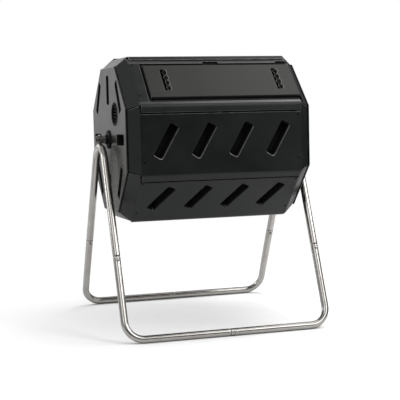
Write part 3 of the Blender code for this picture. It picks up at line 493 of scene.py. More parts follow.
def rail_with_highlight():
    """The panel's plastic with a painted highlight along the rail and the lip, streaky and strongest towards
    the right.
    """
    made = moulded_plastic("frame_plastic", **PANEL_FINISH, shade_depths=FRAME_SHADE_DEPTHS)
    tree = made.node_tree
    on_face = about_axle(tree, -facet_angle(DOOR_FACET))
    along, up, out = node(tree, "ShaderNodeSeparateXYZ", {0: on_face}).outputs
    rail = math_node(
        tree,
        "MULTIPLY",
        remap(tree, up, RAIL_TOP, RAIL_TOP - 0.001),
        remap(tree, up, RAIL_FOOT, RAIL_FOOT + 0.002),
        remap(tree, along, *RAIL_ENDS, *RAIL_HIGHLIGHT_RAMP),
    )
    lip = remap(tree, up, LIP_EDGE, LIP_EDGE + 0.001, most=LIP_HIGHLIGHT)
    skin = remap(tree, out, *RAIL_SKIN)
    drawn = node(tree, "ShaderNodeMapping", {"Vector": on_face, "Scale": RAIL_STREAKS}).outputs[0]
    streaks = remap(tree, noise(tree, drawn, 1.0, 4.0), 0.35, 0.62, least=0.35)
    # Painted highlight: pale streaks along the rail and the lip.
    highlight_amount = math_node(tree, "MULTIPLY", math_node(tree, "MAXIMUM", rail, lip), skin, streaks)
    lay_paler(made, highlight_amount, RAIL_HIGHLIGHT)
    return made


shaped = moulding("door_frame_panel", FRAME_EDGE, lambda piece: open_end_seams(piece, DOOR_FACET))
finished(shaped, rail_with_highlight(), "drum", "panel_plastic", "door_frame_panel")


# Panel screws
# Black pan-head screws with a cross recess hold each panel to the flanges of the end caps, two at each end.
# The recess leaves the door frame panel open at its right end, so there is none there.
SCREW_ALONG = 0.261
SCREW_ACROSS = 0.070
SCREW_SHANK = [(0.0019, -0.0040), (0.0019, -0.0003)]
SCREW_HEAD = [(0.0045, -0.0003), (0.0046, 0.0002), (0.0042, 0.0007), (0.0032, 0.0011), (0.0016, 0.0012)]
SCREW_TOP = 0.0012
SLOT_LENGTH = 0.0042
SLOT_WIDTH = 0.0009
SLOT_DEPTH = 0.0018
SCREW_SIDES = 20


def ring_at(centre, direction, radius, sides):
    """Starts a turned or tubular piece: an open ring of edges round a point, square to a direction."""
    bpy.ops.object.select_all(action="DESELECT")
    turn = Vector(direction).to_track_quat("Z", "Y").to_euler()
    bpy.ops.mesh.primitive_circle_add(vertices=sides, radius=radius, location=centre, rotation=turn)
    started = bpy.context.object
    bpy.ops.object.transform_apply(location=True, rotation=True, scale=True)
    bpy.ops.object.mode_set(mode="EDIT")
    bpy.ops.mesh.select_all(action="SELECT")
    return started


def step_to(piece, move, scale):
    """Runs the open ring on by a short length while it grows or shrinks to another radius."""
    bpy.ops.mesh.extrude_edges_move(TRANSFORM_OT_translate={"value": tuple(move)})
    mesh = bmesh.from_edit_mesh(piece.data)
    ring = [vert for vert in mesh.verts if vert.select]
    middle = sum((vert.co for vert in ring), Vector()) / len(ring)
    bpy.ops.transform.resize(value=(scale, scale, scale), center_override=middle)


def turned(name, seat, outward, profile, sides, ring):
    """A turned piece from (radius, height) points, outward from its seat: a ring, or with closed ends."""
    outward = Vector(outward)
    radius, height = profile[0]
    piece = ring_at(Vector(seat) + outward * height, outward, radius, sides)
    for next_radius, next_height in [*profile[1:], profile[0]] if ring else profile[1:]:
        step_to(piece, outward * (next_height - height), next_radius / radius)
        radius, height = next_radius, next_height
    bpy.ops.mesh.select_all(action="SELECT")
    bpy.ops.mesh.remove_doubles(threshold=MERGED_WITHIN)
    if not ring:
        bpy.ops.mesh.fill_holes(sides=0)
    bpy.ops.mesh.select_all(action="SELECT")
    bpy.ops.mesh.normals_make_consistent(inside=False)
    bpy.ops.object.mode_set(mode="OBJECT")
    bpy.ops.object.shade_smooth_by_angle(angle=SMOOTH_BELOW)
    piece.name = name
    return piece


def joined(name, pieces):
    """Several meshes as one object."""
    bpy.ops.object.select_all(action="DESELECT")
    for piece in pieces:
        piece.select_set(True)
    bpy.context.view_layer.objects.active = pieces[0]
    bpy.ops.object.join()
    pieces[0].name = name
    return pieces[0]


def cut_from(piece, cutter):
    """Cuts one closed shape out of another, and takes the cutter away."""
    bpy.ops.object.select_all(action="DESELECT")
    piece.select_set(True)
    bpy.context.view_layer.objects.active = piece
    cut = piece.modifiers.new("cut", "BOOLEAN")
    cut.operation = "DIFFERENCE"
    cut.solver = "EXACT"
    cut.object = cutter
    bpy.ops.object.modifier_apply(modifier=cut.name)
    bpy.data.objects.remove(cutter, do_unlink=True)
    bpy.ops.object.shade_smooth_by_angle(angle=SMOOTH_BELOW)


def block(centre, size):
    """A plain block, to cut with or to round off."""
    bpy.ops.object.select_all(action="DESELECT")
    bpy.ops.mesh.primitive_cube_add(size=1, location=centre, scale=size)
    bpy.ops.object.transform_apply(location=True, rotation=True, scale=True)
    return bpy.context.object


def copy_of(piece, name, place):
    """A copy with its own mesh, moved in that mesh."""
    copy = bpy.data.objects.new(name, piece.data.copy())
    copy.data.transform(place)
    bpy.context.scene.collection.objects.link(copy)
    return copy


def blackened_steel():
    """Black oxide on steel, worn to a duller grey in places."""
    made, tree, shader = new_finish("blackened_steel", metallic=1.0)
    worn = remap(tree, noise(tree, object_place(tree), 500.0, 4.0), 0.45, 0.75)
    colour = blend_node(tree, worn, (0.020, 0.020, 0.022, 1), (0.085, 0.083, 0.080, 1))
    surface(tree, shader, colour, remap(tree, worn, 0.0, 1.0, 0.42, 0.30), worn, 0.4, 0.00005)
    return made


BLACKENED_STEEL = blackened_steel()
screw = turned("screw", (0, 0, 0), (0, 0, 1), SCREW_SHANK + SCREW_HEAD, SCREW_SIDES, ring=False)
for width, length in ((SLOT_WIDTH, SLOT_LENGTH), (SLOT_LENGTH, SLOT_WIDTH)):
    cut_from(screw, block((0, 0, SCREW_TOP), (width, length, SLOT_DEPTH)))
for facet in range(8):
    turn = Matrix.Translation((0, 0, AXLE_HEIGHT)) @ Matrix.Rotation(facet_angle(facet), 4, "X")
    for along in (-SCREW_ALONG, SCREW_ALONG):
        if facet == DOOR_FACET and along > 0:
            continue
        for across in (-SCREW_ACROSS, SCREW_ACROSS):
            # No two recesses stop at the same angle.
            driven_to = Matrix.Rotation(facet * 1.3 + across * 9 + along * 4, 4, "Z")
            place = turn @ Matrix.Translation((along, across, PANEL_FACE)) @ driven_to
            end = "left" if along < 0 else "right"
            row = "lower" if across < 0 else "upper"
            head = copy_of(screw, f"facet_{facet}_{end}_{row}_screw", place)
            finished(head, BLACKENED_STEEL, "drum", "fastener_zinc")
bpy.data.objects.remove(screw, do_unlink=True)


# Sliding door
# One shallow open-backed moulding that slides to the right in the frame's tracks.
# It has a finger grip with four scallops near each end. Its grain is a little coarser than the panels'.
DOOR_EDGE = 0.0010
DOOR_TOP_EDGE = (0.0670, 0.0710)
DOOR_TOP_LOWER = 0.0064
DOOR_RIM = (-0.232, -0.228)
GRIP_FLOOR = (0.2630, 0.2665)
GRIP_SPAN = (-0.068, 0.048)
GRIP_DEEPER = 0.0048
# The grips' scalloped walls are painted paler, partly as wear and partly as a painted highlight.
GRIP_WEAR_AND_HIGHLIGHT = 0.75
GRIP_LEFT_FACING = (-0.10, -0.55)
DOOR_PLASTIC = moulded_plastic(
    "door_plastic",
    deep=(0.0165, 0.0165, 0.0150),
    chalk=(0.0250, 0.0240, 0.0230),
    gloss=(0.40, 0.50),
    grain_depth=0.00008,
    dust=0.030,
    scuffs=0.6,
    edge_wear_and_highlight=0.30,
    # Painted shade in the grip hollows, from the panels' face down to 5 mm below it.
    shade_depths=(0.0, 0.0050),
)


def at_door_top(along, up, out):
    return DOOR_TOP_EDGE[0] < up < DOOR_TOP_EDGE[1]


def in_grip(along, up, out):
    return GRIP_FLOOR[0] < out < GRIP_FLOOR[1] and GRIP_SPAN[0] < up < GRIP_SPAN[1]


def shape_door(piece):
    """Lowers the door's top edge a little below the lip, and draws its finger grips deeper."""
    shift_on_facet(piece, DOOR_FACET, at_door_top, (0, -DOOR_TOP_LOWER, 0))
    shift_on_facet(piece, DOOR_FACET, in_grip, (0, 0, -GRIP_DEEPER))


def pale_grip_walls():
    """Paints the door's plastic paler on the scalloped wall of each grip, which faces left: partly wear from
    the fingers that pull it, partly a painted highlight.
    """
    tree = DOOR_PLASTIC.node_tree
    left_facing = remap(tree, faces(tree, "X"), *GRIP_LEFT_FACING)
    along = node(tree, "ShaderNodeSeparateXYZ", {0: object_place(tree)}).outputs["X"]
    inside = remap(tree, along, *DOOR_RIM, most=GRIP_WEAR_AND_HIGHLIGHT)
    lay_paler(DOOR_PLASTIC, math_node(tree, "MULTIPLY", rounded_edge(tree), left_facing, inside), WEAR_AND_HIGHLIGHT_PALE)


pale_grip_walls()
shaped = moulding("sliding_door", DOOR_EDGE, shape_door)
finished(shaped, DOOR_PLASTIC, "door", "door_plastic", "sliding_door")


# End caps and divider
# Each end of the drum is one eight-sided moulding, with four slanted pockets and four set like wheel spokes.
# The divider between the chambers is the same material, plainer and hidden inside.
CAP_EDGE = 0.0010
CAP_PLASTIC = moulded_plastic(
    "cap_plastic",
    deep=(0.0100, 0.0092, 0.0084),
    chalk=(0.0160, 0.0150, 0.0140),
    gloss=(0.25, 0.31),
    grain_depth=0.00005,
    dust=0.012,
    scuffs=0.4,
    edge_wear_and_highlight=0.25,
    # Painted shade in the pockets, dark from just below the cap's face.
    shade_depths=(0.0003, 0.0016),
)


def recoat(name, finish):
    """Gives a node that keeps its own shape a better finish."""
    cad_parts[name].data.materials.clear()
    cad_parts[name].data.materials.append(finish)


for cap in ("left_end_cap", "right_end_cap"):
    finished(moulding(cap, CAP_EDGE), CAP_PLASTIC, "drum", "cap_plastic", cap)
recoat("divider_panel", CAP_PLASTIC)


# Vents
# A round vent snaps into each end cap, off centre, to let air in and water out. It is one black moulding.
# A rounded ring stands just proud of the cap, and behind it a short cup holds a grille of five bars.
VENT_BORE = 0.0310
VENT_RING = [
    (0.0380, 0.0000),
    (0.0380, 0.0009),
    (0.0374, 0.0016),
    (0.0362, 0.0020),
    (0.0338, 0.0020),
    (0.0322, 0.0014),
    (VENT_BORE, 0.0002),
    (0.0302, -0.0100),
    (0.0314, -0.0100),
    (0.0324, -0.0020),
    (0.0332, 0.0000),
]
VENT_BARS = 5
VENT_BAR_PITCH = 0.0105
VENT_BAR_HEIGHT = 0.0042
VENT_BAR_DEPTH = 0.0050
VENT_BAR_WALL = 0.0030
VENT_BAR_EDGE = 0.0009
TURNED_SIDES = 64
HUB_SHINE = 0.15
HUB_PLASTIC = moulded_plastic(
    "hub_plastic",
    deep=(0.0050, 0.0052, 0.0050),
    chalk=(0.0090, 0.0090, 0.0088),
    gloss=(0.55, 0.70),
    grain_depth=0.00008,
    dust=0.008,
    scuffs=0.3,
    edge_wear_and_highlight=0.0,
    # Painted shade where it lies below the drum's faces, as in the vent's cup and grille.
    shade_depths=POCKET_SHADE_DEPTHS,
)
HUB_PLASTIC.node_tree.nodes["Principled BSDF"].inputs["Specular IOR Level"].default_value = HUB_SHINE


def eased(piece, width, segments, above=30):
    """Rounds off a piece's corners that turn by more degrees than it says."""
    rounded = piece.modifiers.new("eased", "BEVEL")
    rounded.width = width
    rounded.segments = segments
    rounded.limit_method = "ANGLE"
    rounded.angle_limit = math.radians(above)
    bpy.ops.object.modifier_apply(modifier=rounded.name)
    bpy.ops.object.shade_smooth_by_angle(angle=SMOOTH_BELOW)


for name, side in (("left_vent", -1), ("right_vent", 1)):
    lowest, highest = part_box(name)
    across, up = (lowest[1] + highest[1]) / 2, (lowest[2] + highest[2]) / 2
    seat = (side * DRUM_END, across, up)
    pieces = [turned("ring", seat, (side, 0, 0), VENT_RING, TURNED_SIDES, ring=True)]
    for number in range(VENT_BARS):
        rise = (number - (VENT_BARS - 1) / 2) * VENT_BAR_PITCH
        half = math.sqrt(VENT_BORE**2 - (abs(rise) + VENT_BAR_HEIGHT / 2) ** 2)
        centre = (side * (DRUM_END - VENT_BAR_DEPTH), across, up + rise)
        bar = block(centre, (VENT_BAR_WALL, 2 * half, VENT_BAR_HEIGHT))
        eased(bar, VENT_BAR_EDGE, 3)
        pieces.append(bar)
    finished(joined(f"{name}_grille", pieces), HUB_PLASTIC, "drum", "hub_plastic", name)


# Hub bushes
# A flanged bush of black plastic snaps into the middle of each end cap, and runs on the axle.
# It has a raised boss with eased edges, and the divider carries a plain sleeve of the same plastic inside.
HUB_SEAT = 0.313
HUB_BUSH = [
    (0.0310, 0.0003),
    (0.0310, 0.0034),
    (0.0307, 0.0040),
    (0.0301, 0.0043),
    (0.0175, 0.0043),
    (0.0162, 0.0048),
    (0.0156, 0.0062),
    (0.0155, 0.0124),
    (0.0152, 0.0130),
    (0.0147, 0.0133),
    (0.0136, 0.0133),
    (0.0131, 0.0130),
    (0.0128, 0.0124),
    (0.0128, -0.0137),
    (0.0197, -0.0137),
    (0.0197, 0.0003),
]
for name, side in (("left_hub_bush", -1), ("right_hub_bush", 1)):
    seat = (side * HUB_SEAT, 0, AXLE_HEIGHT)
    bush = turned(f"{name}_turned", seat, (side, 0, 0), HUB_BUSH, TURNED_SIDES, ring=True)
    finished(bush, HUB_PLASTIC, "drum", "hub_plastic", name)
recoat("divider_sleeve", HUB_PLASTIC)


# Stand tubes and axle
# Galvanised steel tube, 24 mm across, bent cold. At each end a bent-over upper tube carries the axle.
# Its narrowed ends slide into two corner tubes. These bend again and meet the other end's as floor bars.
TOUCH_GAP = 0.0003
AXLE_LENGTH = 0.712
AXLE_RADIUS = 0.0125
AXLE_WALL = 0.0017
TUBE_RADIUS = 0.012
TUBE_WALL = 0.0015
TUBE_SIDES = 32
TUBE_CUT_EDGE = 0.0004
HALF_WIDTH = 0.343
LEG_LEAN = math.radians(25.1)
TOP_BEND = 0.072
TOP_BEND_STEPS = 20
FOOT_BEND = 0.060
FOOT_BEND_STEPS = 16
JOINT_HEIGHT = 0.259
SPIGOT_REACH = 0.040
SPIGOT_CLEARANCE = 0.0006
SPIGOT_RADIUS = TUBE_RADIUS - TUBE_WALL - SPIGOT_CLEARANCE
SHOULDER = 0.004
END_RING = 0.0015
CREST = AXLE_HEIGHT - AXLE_RADIUS - TOUCH_GAP - TUBE_RADIUS
LEG_MEET = CREST + TOP_BEND * (1 / math.sin(LEG_LEAN) - 1)
FOOT_HEIGHT = TUBE_RADIUS
FOOT_DEPTH = (LEG_MEET - FOOT_HEIGHT) * math.tan(LEG_LEAN)


def zinc(name, bright, dull, gloss, spangle, streaks):
    """Zinc on steel: slow dull patches, small spangles, and faint draw lines along the drum and the legs."""
    made, tree, shader = new_finish(name, metallic=1.0)
    place = object_place(tree)
    cells = node(tree, "ShaderNodeTexVoronoi", {"Vector": place, "Scale": spangle, "Randomness": 1.0})
    tint = node(tree, "ShaderNodeSeparateXYZ", {0: cells.outputs["Color"]}).outputs[0]
    patches = noise(tree, place, 28.0, 5.0, 0.65)
    blotch = remap(tree, patches, 0.35, 0.70)
    dulled = math_node(tree, "MULTIPLY", blotch, 0.85)
    dulled = math_node(tree, "ADD", dulled, math_node(tree, "MULTIPLY", tint, 0.1))
    colour = blend_node(tree, dulled, (*bright, 1), (*dull, 1))
    lines = node(tree, "ShaderNodeMapping", {"Vector": place, "Scale": streaks}).outputs[0]
    drawn = noise(tree, lines, 1.0, 3.0)
    matt = math_node(tree, "MULTIPLY", blotch, 0.6)
    matt = math_node(tree, "ADD", matt, math_node(tree, "MULTIPLY", drawn, 0.4))
    height = math_node(tree, "ADD", drawn, math_node(tree, "MULTIPLY", patches, 0.5))
    surface(tree, shader, colour, remap(tree, matt, 0.0, 1.0, *gloss), height, 0.6, 0.00015)
    return made


STAND_ZINC = zinc("stand_zinc", (0.66, 0.64, 0.61), (0.53, 0.505, 0.475), (0.13, 0.25), 240.0, (18, 260, 26))
AXLE_ZINC = zinc("axle_zinc", (0.48, 0.47, 0.45), (0.30, 0.29, 0.275), (0.24, 0.42), 300.0, (18, 260, 260))


def run(move):
    """Runs the tube's open ring on straight. A ring close to each end keeps the highlights straight too."""
    move = Vector(move)
    short = move.normalized() * END_RING
    for part in (short, move - 2 * short, short):
        bpy.ops.mesh.extrude_edges_move(TRANSFORM_OT_translate={"value": tuple(part)})


def bend(centre, axis, angle, steps):
    """Runs the open ring round a bend. The spin operator turns the other way about its axis."""
    bpy.ops.mesh.spin(steps=steps, angle=-angle, center=tuple(centre), axis=tuple(axis))


def close_tube(tube, name, wall):
    """Ends a tube: merges its rings, turns its faces outward, gives it a wall and eases the cut ends."""
    bpy.ops.mesh.select_all(action="SELECT")
    bpy.ops.mesh.remove_doubles(threshold=MERGED_WITHIN)
    bpy.ops.mesh.normals_make_consistent(inside=False)
    bpy.ops.object.mode_set(mode="OBJECT")
    tube.name = name
    sheet = tube.modifiers.new("wall", "SOLIDIFY")
    sheet.thickness = wall
    sheet.offset = -1
    bpy.ops.object.modifier_apply(modifier=sheet.name)
    eased(tube, TUBE_CUT_EDGE, 2, above=60)


def leg_way(depth):
    """Down a leg. Depth is -1 for the front and 1 for the rear."""
    return Vector((0, depth * math.sin(LEG_LEAN), -math.cos(LEG_LEAN)))


def joint_at(side, depth):
    """The middle of a leg at the cut end of its lower tube."""
    down = leg_way(depth)
    return Vector((side * HALF_WIDTH, 0, LEG_MEET)) + down * ((LEG_MEET - JOINT_HEIGHT) / -down.z)


axle = ring_at((-AXLE_LENGTH / 2, 0, AXLE_HEIGHT), (1, 0, 0), AXLE_RADIUS, TUBE_SIDES)
run((AXLE_LENGTH, 0, 0))
close_tube(axle, "axle_tube", AXLE_WALL)
finished(axle, AXLE_ZINC, "stand", "stand_zinc", "axle")

for side_name, side in (("left", -1), ("right", 1)):
    front, rear = leg_way(-1), leg_way(1)
    start = joint_at(side, -1)
    tube = ring_at(start + front * SPIGOT_REACH, -front, SPIGOT_RADIUS, TUBE_SIDES)
    run(-front * SPIGOT_REACH)
    step_to(tube, -front * SHOULDER, TUBE_RADIUS / SPIGOT_RADIUS)
    arc_centre = Vector((side * HALF_WIDTH, 0, CREST - TOP_BEND))
    bend_start = arc_centre + TOP_BEND * Vector((0, -math.cos(LEG_LEAN), math.sin(LEG_LEAN)))
    run(bend_start - (start - front * SHOULDER))
    bend(arc_centre, (1, 0, 0), -(math.pi - 2 * LEG_LEAN), TOP_BEND_STEPS)
    bend_end = arc_centre + TOP_BEND * Vector((0, math.cos(LEG_LEAN), math.sin(LEG_LEAN)))
    finish_at = joint_at(side, 1)
    run(finish_at - rear * SHOULDER - bend_end)
    step_to(tube, rear * SHOULDER, SPIGOT_RADIUS / TUBE_RADIUS)
    run(rear * SPIGOT_REACH)
    close_tube(tube, f"{side_name}_top_tube", TUBE_WALL)
    finished(tube, STAND_ZINC, "stand", "stand_zinc", f"{side_name}_apex_tube")

for depth_name, depth in (("front", -1), ("rear", 1)):
    for side_name, side in (("left", -1), ("right", 1)):
        down = leg_way(depth)
        inward = Vector((-side, 0, 0))
        top = joint_at(side, depth) + down * TOUCH_GAP
        tube = ring_at(top, down, TUBE_RADIUS, TUBE_SIDES)
        corner = Vector((side * HALF_WIDTH, depth * FOOT_DEPTH, FOOT_HEIGHT))
        turn_centre = corner - down * FOOT_BEND + inward * FOOT_BEND
        turn_start = turn_centre - inward * FOOT_BEND
        run(turn_start - top)
        bend(turn_centre, down.cross(inward), math.pi / 2, FOOT_BEND_STEPS)
        turn_end = turn_centre + down * FOOT_BEND
        middle = Vector((0, corner.y, corner.z))
        if side == depth:
            run(middle - inward * SHOULDER - turn_end)
            step_to(tube, inward * SHOULDER, SPIGOT_RADIUS / TUBE_RADIUS)
            run(inward * SPIGOT_REACH)
        else:
            run(middle - inward * TOUCH_GAP - turn_end)
        close_tube(tube, f"{depth_name}_{side_name}_lower_tube", TUBE_WALL)
        finished(tube, STAND_ZINC, "stand", "stand_zinc", f"{depth_name}_{side_name}_corner_tube")


# Bolts and nuts
# Zinc-plated bolts with low domed heads, each with a locking nut on a short stretch of thread.
# One goes through each joint of the legs and floor bars, and one down through each end of the axle.
BOLT_RADIUS = 0.003
BOLT_SIDES = 20
BOLT_TAIL = 0.0075
BOLT_FROM_LEG_JOINT = 0.011
BOLT_FROM_BAR_JOINT = 0.018
HEAD_DOME = [
    (0.0064, TOUCH_GAP),
    (0.0065, 0.0008),
    (0.0062, 0.0018),
    (0.0052, 0.0029),
    (0.0036, 0.0036),
    (0.0016, 0.0038),
]
THREADS = 11
THREAD_PITCH = 0.0010
THREAD_DEPTH = 0.0003
NUT_FLATS = 0.010
NUT_HEIGHT = 0.005
NUT_HEXAGON = 0.0036
NUT_BORE = 0.0033
NUT_EDGE = 0.0005
FASTENER_ZINC = zinc(
    "fastener_zinc", (0.62, 0.62, 0.63), (0.44, 0.43, 0.42), (0.22, 0.36), 900.0, (300, 300, 300)
)


def bolt_with(grip):
    """A bolt that points up: the domed head over what it holds, the shank and its thread."""
    profile = [(BOLT_RADIUS - THREAD_DEPTH, -grip - BOLT_TAIL)]
    for number in range(THREADS):
        low = -grip - BOLT_TAIL + (number + 0.25) * THREAD_PITCH
        profile.append((BOLT_RADIUS, low + THREAD_PITCH / 4))
        profile.append((BOLT_RADIUS - THREAD_DEPTH, low + THREAD_PITCH * 0.75))
    profile += [(BOLT_RADIUS, profile[-1][1] + THREAD_PITCH / 4), (BOLT_RADIUS, TOUCH_GAP), *HEAD_DOME]
    return turned("bolt", (0, 0, 0), (0, 0, 1), profile, BOLT_SIDES, ring=False)


def lock_nut(grip):
    """A hexagon nut with eased corners and a low round collar, below what its bolt holds."""
    top = -grip - TOUCH_GAP
    low = top - NUT_HEIGHT
    shoulder = top - NUT_HEXAGON
    bpy.ops.object.select_all(action="DESELECT")
    bpy.ops.mesh.primitive_cylinder_add(
        vertices=6,
        radius=NUT_FLATS / 2 / math.cos(math.pi / 6),
        depth=NUT_HEXAGON,
        location=(0, 0, (top + shoulder) / 2),
    )
    hexagon = bpy.context.object
    bpy.ops.object.transform_apply(location=True, rotation=True, scale=True)
    eased(hexagon, NUT_EDGE, 2)
    through = [(NUT_BORE, top - 2 * NUT_HEIGHT), (NUT_BORE, top + 2 * NUT_HEIGHT)]
    cut_from(hexagon, turned("bore", (0, 0, 0), (0, 0, 1), through, BOLT_SIDES, ring=False))
    under = shoulder - 0.0001
    ring = [(0.0046, under), (0.0045, low + 0.0005), (0.0041, low), (NUT_BORE, low), (NUT_BORE, under)]
    collar = turned("collar", (0, 0, 0), (0, 0, 1), ring, BOLT_SIDES, ring=True)
    return joined("nut", [hexagon, collar])


tube_grip = 2 * TUBE_RADIUS
axle_grip = 2 * (AXLE_RADIUS + TUBE_RADIUS) + TOUCH_GAP
fasteners = {grip: (bolt_with(grip), lock_nut(grip)) for grip in (tube_grip, axle_grip)}
seats = []
for depth_name, depth in (("front", -1), ("rear", 1)):
    for side_name, side in (("left", -1), ("right", 1)):
        outward = Vector((0, depth * math.cos(LEG_LEAN), math.sin(LEG_LEAN)))
        seat = joint_at(side, depth) + leg_way(depth) * BOLT_FROM_LEG_JOINT + outward * TUBE_RADIUS
        seats.append((f"{depth_name}_{side_name}_leg", seat, outward, tube_grip))
    outward = Vector((0, depth, 0))
    seat = Vector((-depth * BOLT_FROM_BAR_JOINT, depth * FOOT_DEPTH, FOOT_HEIGHT)) + outward * TUBE_RADIUS
    seats.append((f"{depth_name}_bar", seat, outward, tube_grip))
for side_name, side in (("left", -1), ("right", 1)):
    seat = Vector((side * HALF_WIDTH, 0, AXLE_HEIGHT + AXLE_RADIUS))
    seats.append((f"{side_name}_axle", seat, Vector((0, 0, 1)), axle_grip))
for name, seat, outward, grip in seats:
    place = Matrix.Translation(seat) @ outward.to_track_quat("Z", "Y").to_matrix().to_4x4()
    bolt = copy_of(fasteners[grip][0], f"{name}_threaded_bolt", place)
    nut = copy_of(fasteners[grip][1], f"{name}_lock_nut", place)
    finished(bolt, FASTENER_ZINC, "stand", "fastener_zinc", f"{name}_bolt")
    finished(nut, FASTENER_ZINC, "stand", "fastener_zinc", f"{name}_nut")
for pair in fasteners.values():
    for piece in pair:
        bpy.data.objects.remove(piece, do_unlink=True)


# Floor and light
# A plain pale floor, small enough that beyond it what shines mirrors a dark studio with soft pale patches.
# The surround is white to the eye, and a soft fill to what is matt. Six soft lamps light the tumbler,
# and two of them aren't mirrored, because lamps so near would make uneven stripes along the tubes.
FLOOR_RADIUS = 1.6
FLOOR_SEEN = (0.97, 0.97, 0.97, 1)
FLOOR_MIRRORED = (0.58, 0.58, 0.58, 1)
FLOOR_FADE = (0.7, 1.55)
STUDIO_DARK = 0.04
STUDIO_CEILING = 0.30
STUDIO_BELOW = 0.9
FILL_LOW = 0.30
FILL_RISE = 0.75
WHITE = (1, 1, 1, 1)

bpy.ops.object.select_all(action="DESELECT")
bpy.ops.mesh.primitive_circle_add(
    vertices=64, radius=FLOOR_RADIUS, fill_type="NGON", location=(0, 0, -0.0005)
)
floor = bpy.context.object
floor.name = "floor"
bpy.ops.object.transform_apply(location=True, rotation=True, scale=True)
floor_paint = bpy.data.materials.new("floor_paint")
floor_paint.use_nodes = True
tree = floor_paint.node_tree
tree.nodes.clear()
camera_ray = node(tree, "ShaderNodeLightPath").outputs["Is Camera Ray"]
paint = blend_node(tree, camera_ray, FLOOR_MIRRORED, FLOOR_SEEN)
matt = node(tree, "ShaderNodeBsdfDiffuse", {"Color": paint}).outputs[0]
away = node(tree, "ShaderNodeVectorMath", {0: object_place(tree)}, operation="LENGTH").outputs["Value"]
fade = remap(tree, away, *FLOOR_FADE, soft=True)
clear = node(tree, "ShaderNodeBsdfTransparent").outputs[0]
faded = node(tree, "ShaderNodeMixShader", {0: fade, 1: matt, 2: clear}).outputs[0]
node(tree, "ShaderNodeOutputMaterial", {"Surface": faded})
floor.data.materials.append(floor_paint)

surround = bpy.data.worlds.new("surround")
bpy.context.scene.world = surround
surround.use_nodes = True
tree = surround.node_tree
tree.nodes.clear()
rays = node(tree, "ShaderNodeLightPath").outputs
heading = node(tree, "ShaderNodeTexCoord").outputs["Generated"]
way = node(tree, "ShaderNodeSeparateXYZ", {0: heading}).outputs


def patch(toward, edge, middle, most):
    """A soft round pale patch of the surround. Its edge and middle are cosines from where it is centred."""
    near = node(tree, "ShaderNodeVectorMath", {0: heading, 1: toward}, operation="DOT_PRODUCT")
    return remap(tree, near.outputs["Value"], edge, middle, most=most, soft=True)


def glow(strength):
    """Plain white light of a given strength."""
    return node(tree, "ShaderNodeBackground", {"Color": WHITE, "Strength": strength}).outputs[0]


ceiling = remap(tree, way["Z"], 0.10, 0.60, most=STUDIO_CEILING, soft=True)
high_rear = patch((-0.12, 0.89, 0.43), 0.90, 0.98, 1.45)
high_front = patch((-0.50, -0.57, 0.65), 0.945, 0.975, 1.3)
key_side = patch((0.50, -0.58, 0.64), 0.94, 0.985, 2.7)
left_front = patch((-0.95, -0.30, 0.0), 0.80, 1.0, 0.4)
left_rear = patch((-0.5, 0.86, 0.0), 0.70, 0.95, 0.75)
left_rear = math_node(tree, "MULTIPLY", left_rear, remap(tree, way["Z"], -0.20, 0.0, least=0.4))
below = remap(tree, math_node(tree, "MULTIPLY", way["Z"], -1.0), 0.15, 0.35, most=STUDIO_BELOW, soft=True)
low_rear = math_node(tree, "MULTIPLY", below, remap(tree, way["Y"], 0.0, 0.5, soft=True))
studio = math_node(
    tree, "MAXIMUM", ceiling, high_rear, left_rear, left_front, high_front, key_side, low_rear
)
studio_light = glow(math_node(tree, "ADD", studio, STUDIO_DARK))
fill = remap(tree, way["Z"], 0.1, 0.9, most=FILL_RISE, soft=True)
fill_light = glow(math_node(tree, "ADD", fill, FILL_LOW))
shiny = math_node(tree, "MAXIMUM", rays["Is Glossy Ray"], rays["Is Transmission Ray"])
unseen = node(tree, "ShaderNodeMixShader", {0: shiny, 1: fill_light, 2: studio_light}).outputs[0]
seen = node(tree, "ShaderNodeMixShader", {0: rays["Is Camera Ray"], 1: unseen, 2: glow(1.0)}).outputs[0]
node(tree, "ShaderNodeOutputWorld", {"Surface": seen})


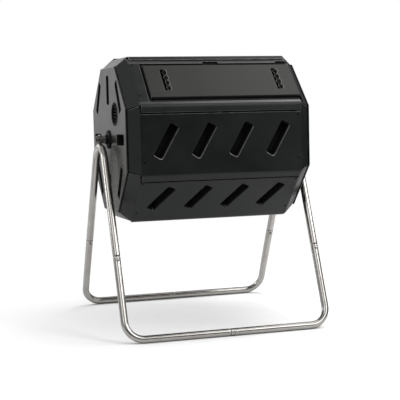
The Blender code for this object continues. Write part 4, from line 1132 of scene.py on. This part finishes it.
def lamp(name, place, target, size, power, mirrored=True):
    """A soft square lamp aimed at a point, which shiny surfaces mirror or not."""
    light = bpy.data.lights.new(name, "AREA")
    light.shape = "RECTANGLE"
    light.size, light.size_y = size
    light.energy = power
    stand = bpy.data.objects.new(name, light)
    stand.location = place
    stand.rotation_mode = "QUATERNION"
    stand.rotation_quaternion = (Vector(target) - Vector(place)).to_track_quat("-Z", "Y")
    stand.visible_glossy = mirrored
    bpy.context.scene.collection.objects.link(stand)


lamp("overhead_lamp", (1.05, -0.1, 1.95), (1.05, -0.1, 0.6), (1.3, 1.3), 4.3)
lamp("fill_lamp", (0.8, 0.4, 2.8), (0, 0, 0.3), (1.4, 1.4), 22, mirrored=False)
lamp("front_lamp", (2.10, -2.9, 0.6), (0, 0, 0.6), (1.0, 1.6), 3.7)
lamp("key_lamp", (1.2, -1.8, 2.2), (0, 0, 0.6), (0.9, 0.7), 20, mirrored=False)
lamp("left_lamp", (-2.7, 0.6, 1.5), (0, 0, 0.6), (0.5, 1.4), 11)
lamp("right_lamp", (2.4, -0.8, 1.9), (0, 0, 0.5), (0.5, 1.2), 9.5)


# Camera
# It stands to the left of the door and looks a little down, as it did for the photograph.
# A long lens keeps the tumbler's edges nearly parallel.
CAMERA_PLACE = (-1.1336, -3.5902, 0.8351)
YAW, PITCH, ROLL = math.radians(17.594), math.radians(6.494), math.radians(-0.672)
FILM_WIDTH = 36
FOCAL_LENGTH = 98.58

ahead = Vector((math.sin(YAW) * math.cos(PITCH), math.cos(YAW) * math.cos(PITCH), -math.sin(PITCH)))
level = Vector((math.cos(YAW), -math.sin(YAW), 0))
upright = level.cross(ahead)
across = math.cos(ROLL) * level + math.sin(ROLL) * upright
over = -math.sin(ROLL) * level + math.cos(ROLL) * upright
lens = bpy.data.cameras.new("camera")
lens.sensor_width = FILM_WIDTH
lens.lens = FOCAL_LENGTH
camera = bpy.data.objects.new("camera", lens)
aim = Matrix((across, over, -ahead)).transposed().to_4x4()
camera.matrix_world = Matrix.Translation(CAMERA_PLACE) @ aim
bpy.context.scene.collection.objects.link(camera)
bpy.context.scene.camera = camera
bpy.context.scene.view_settings.view_transform = "Standard"
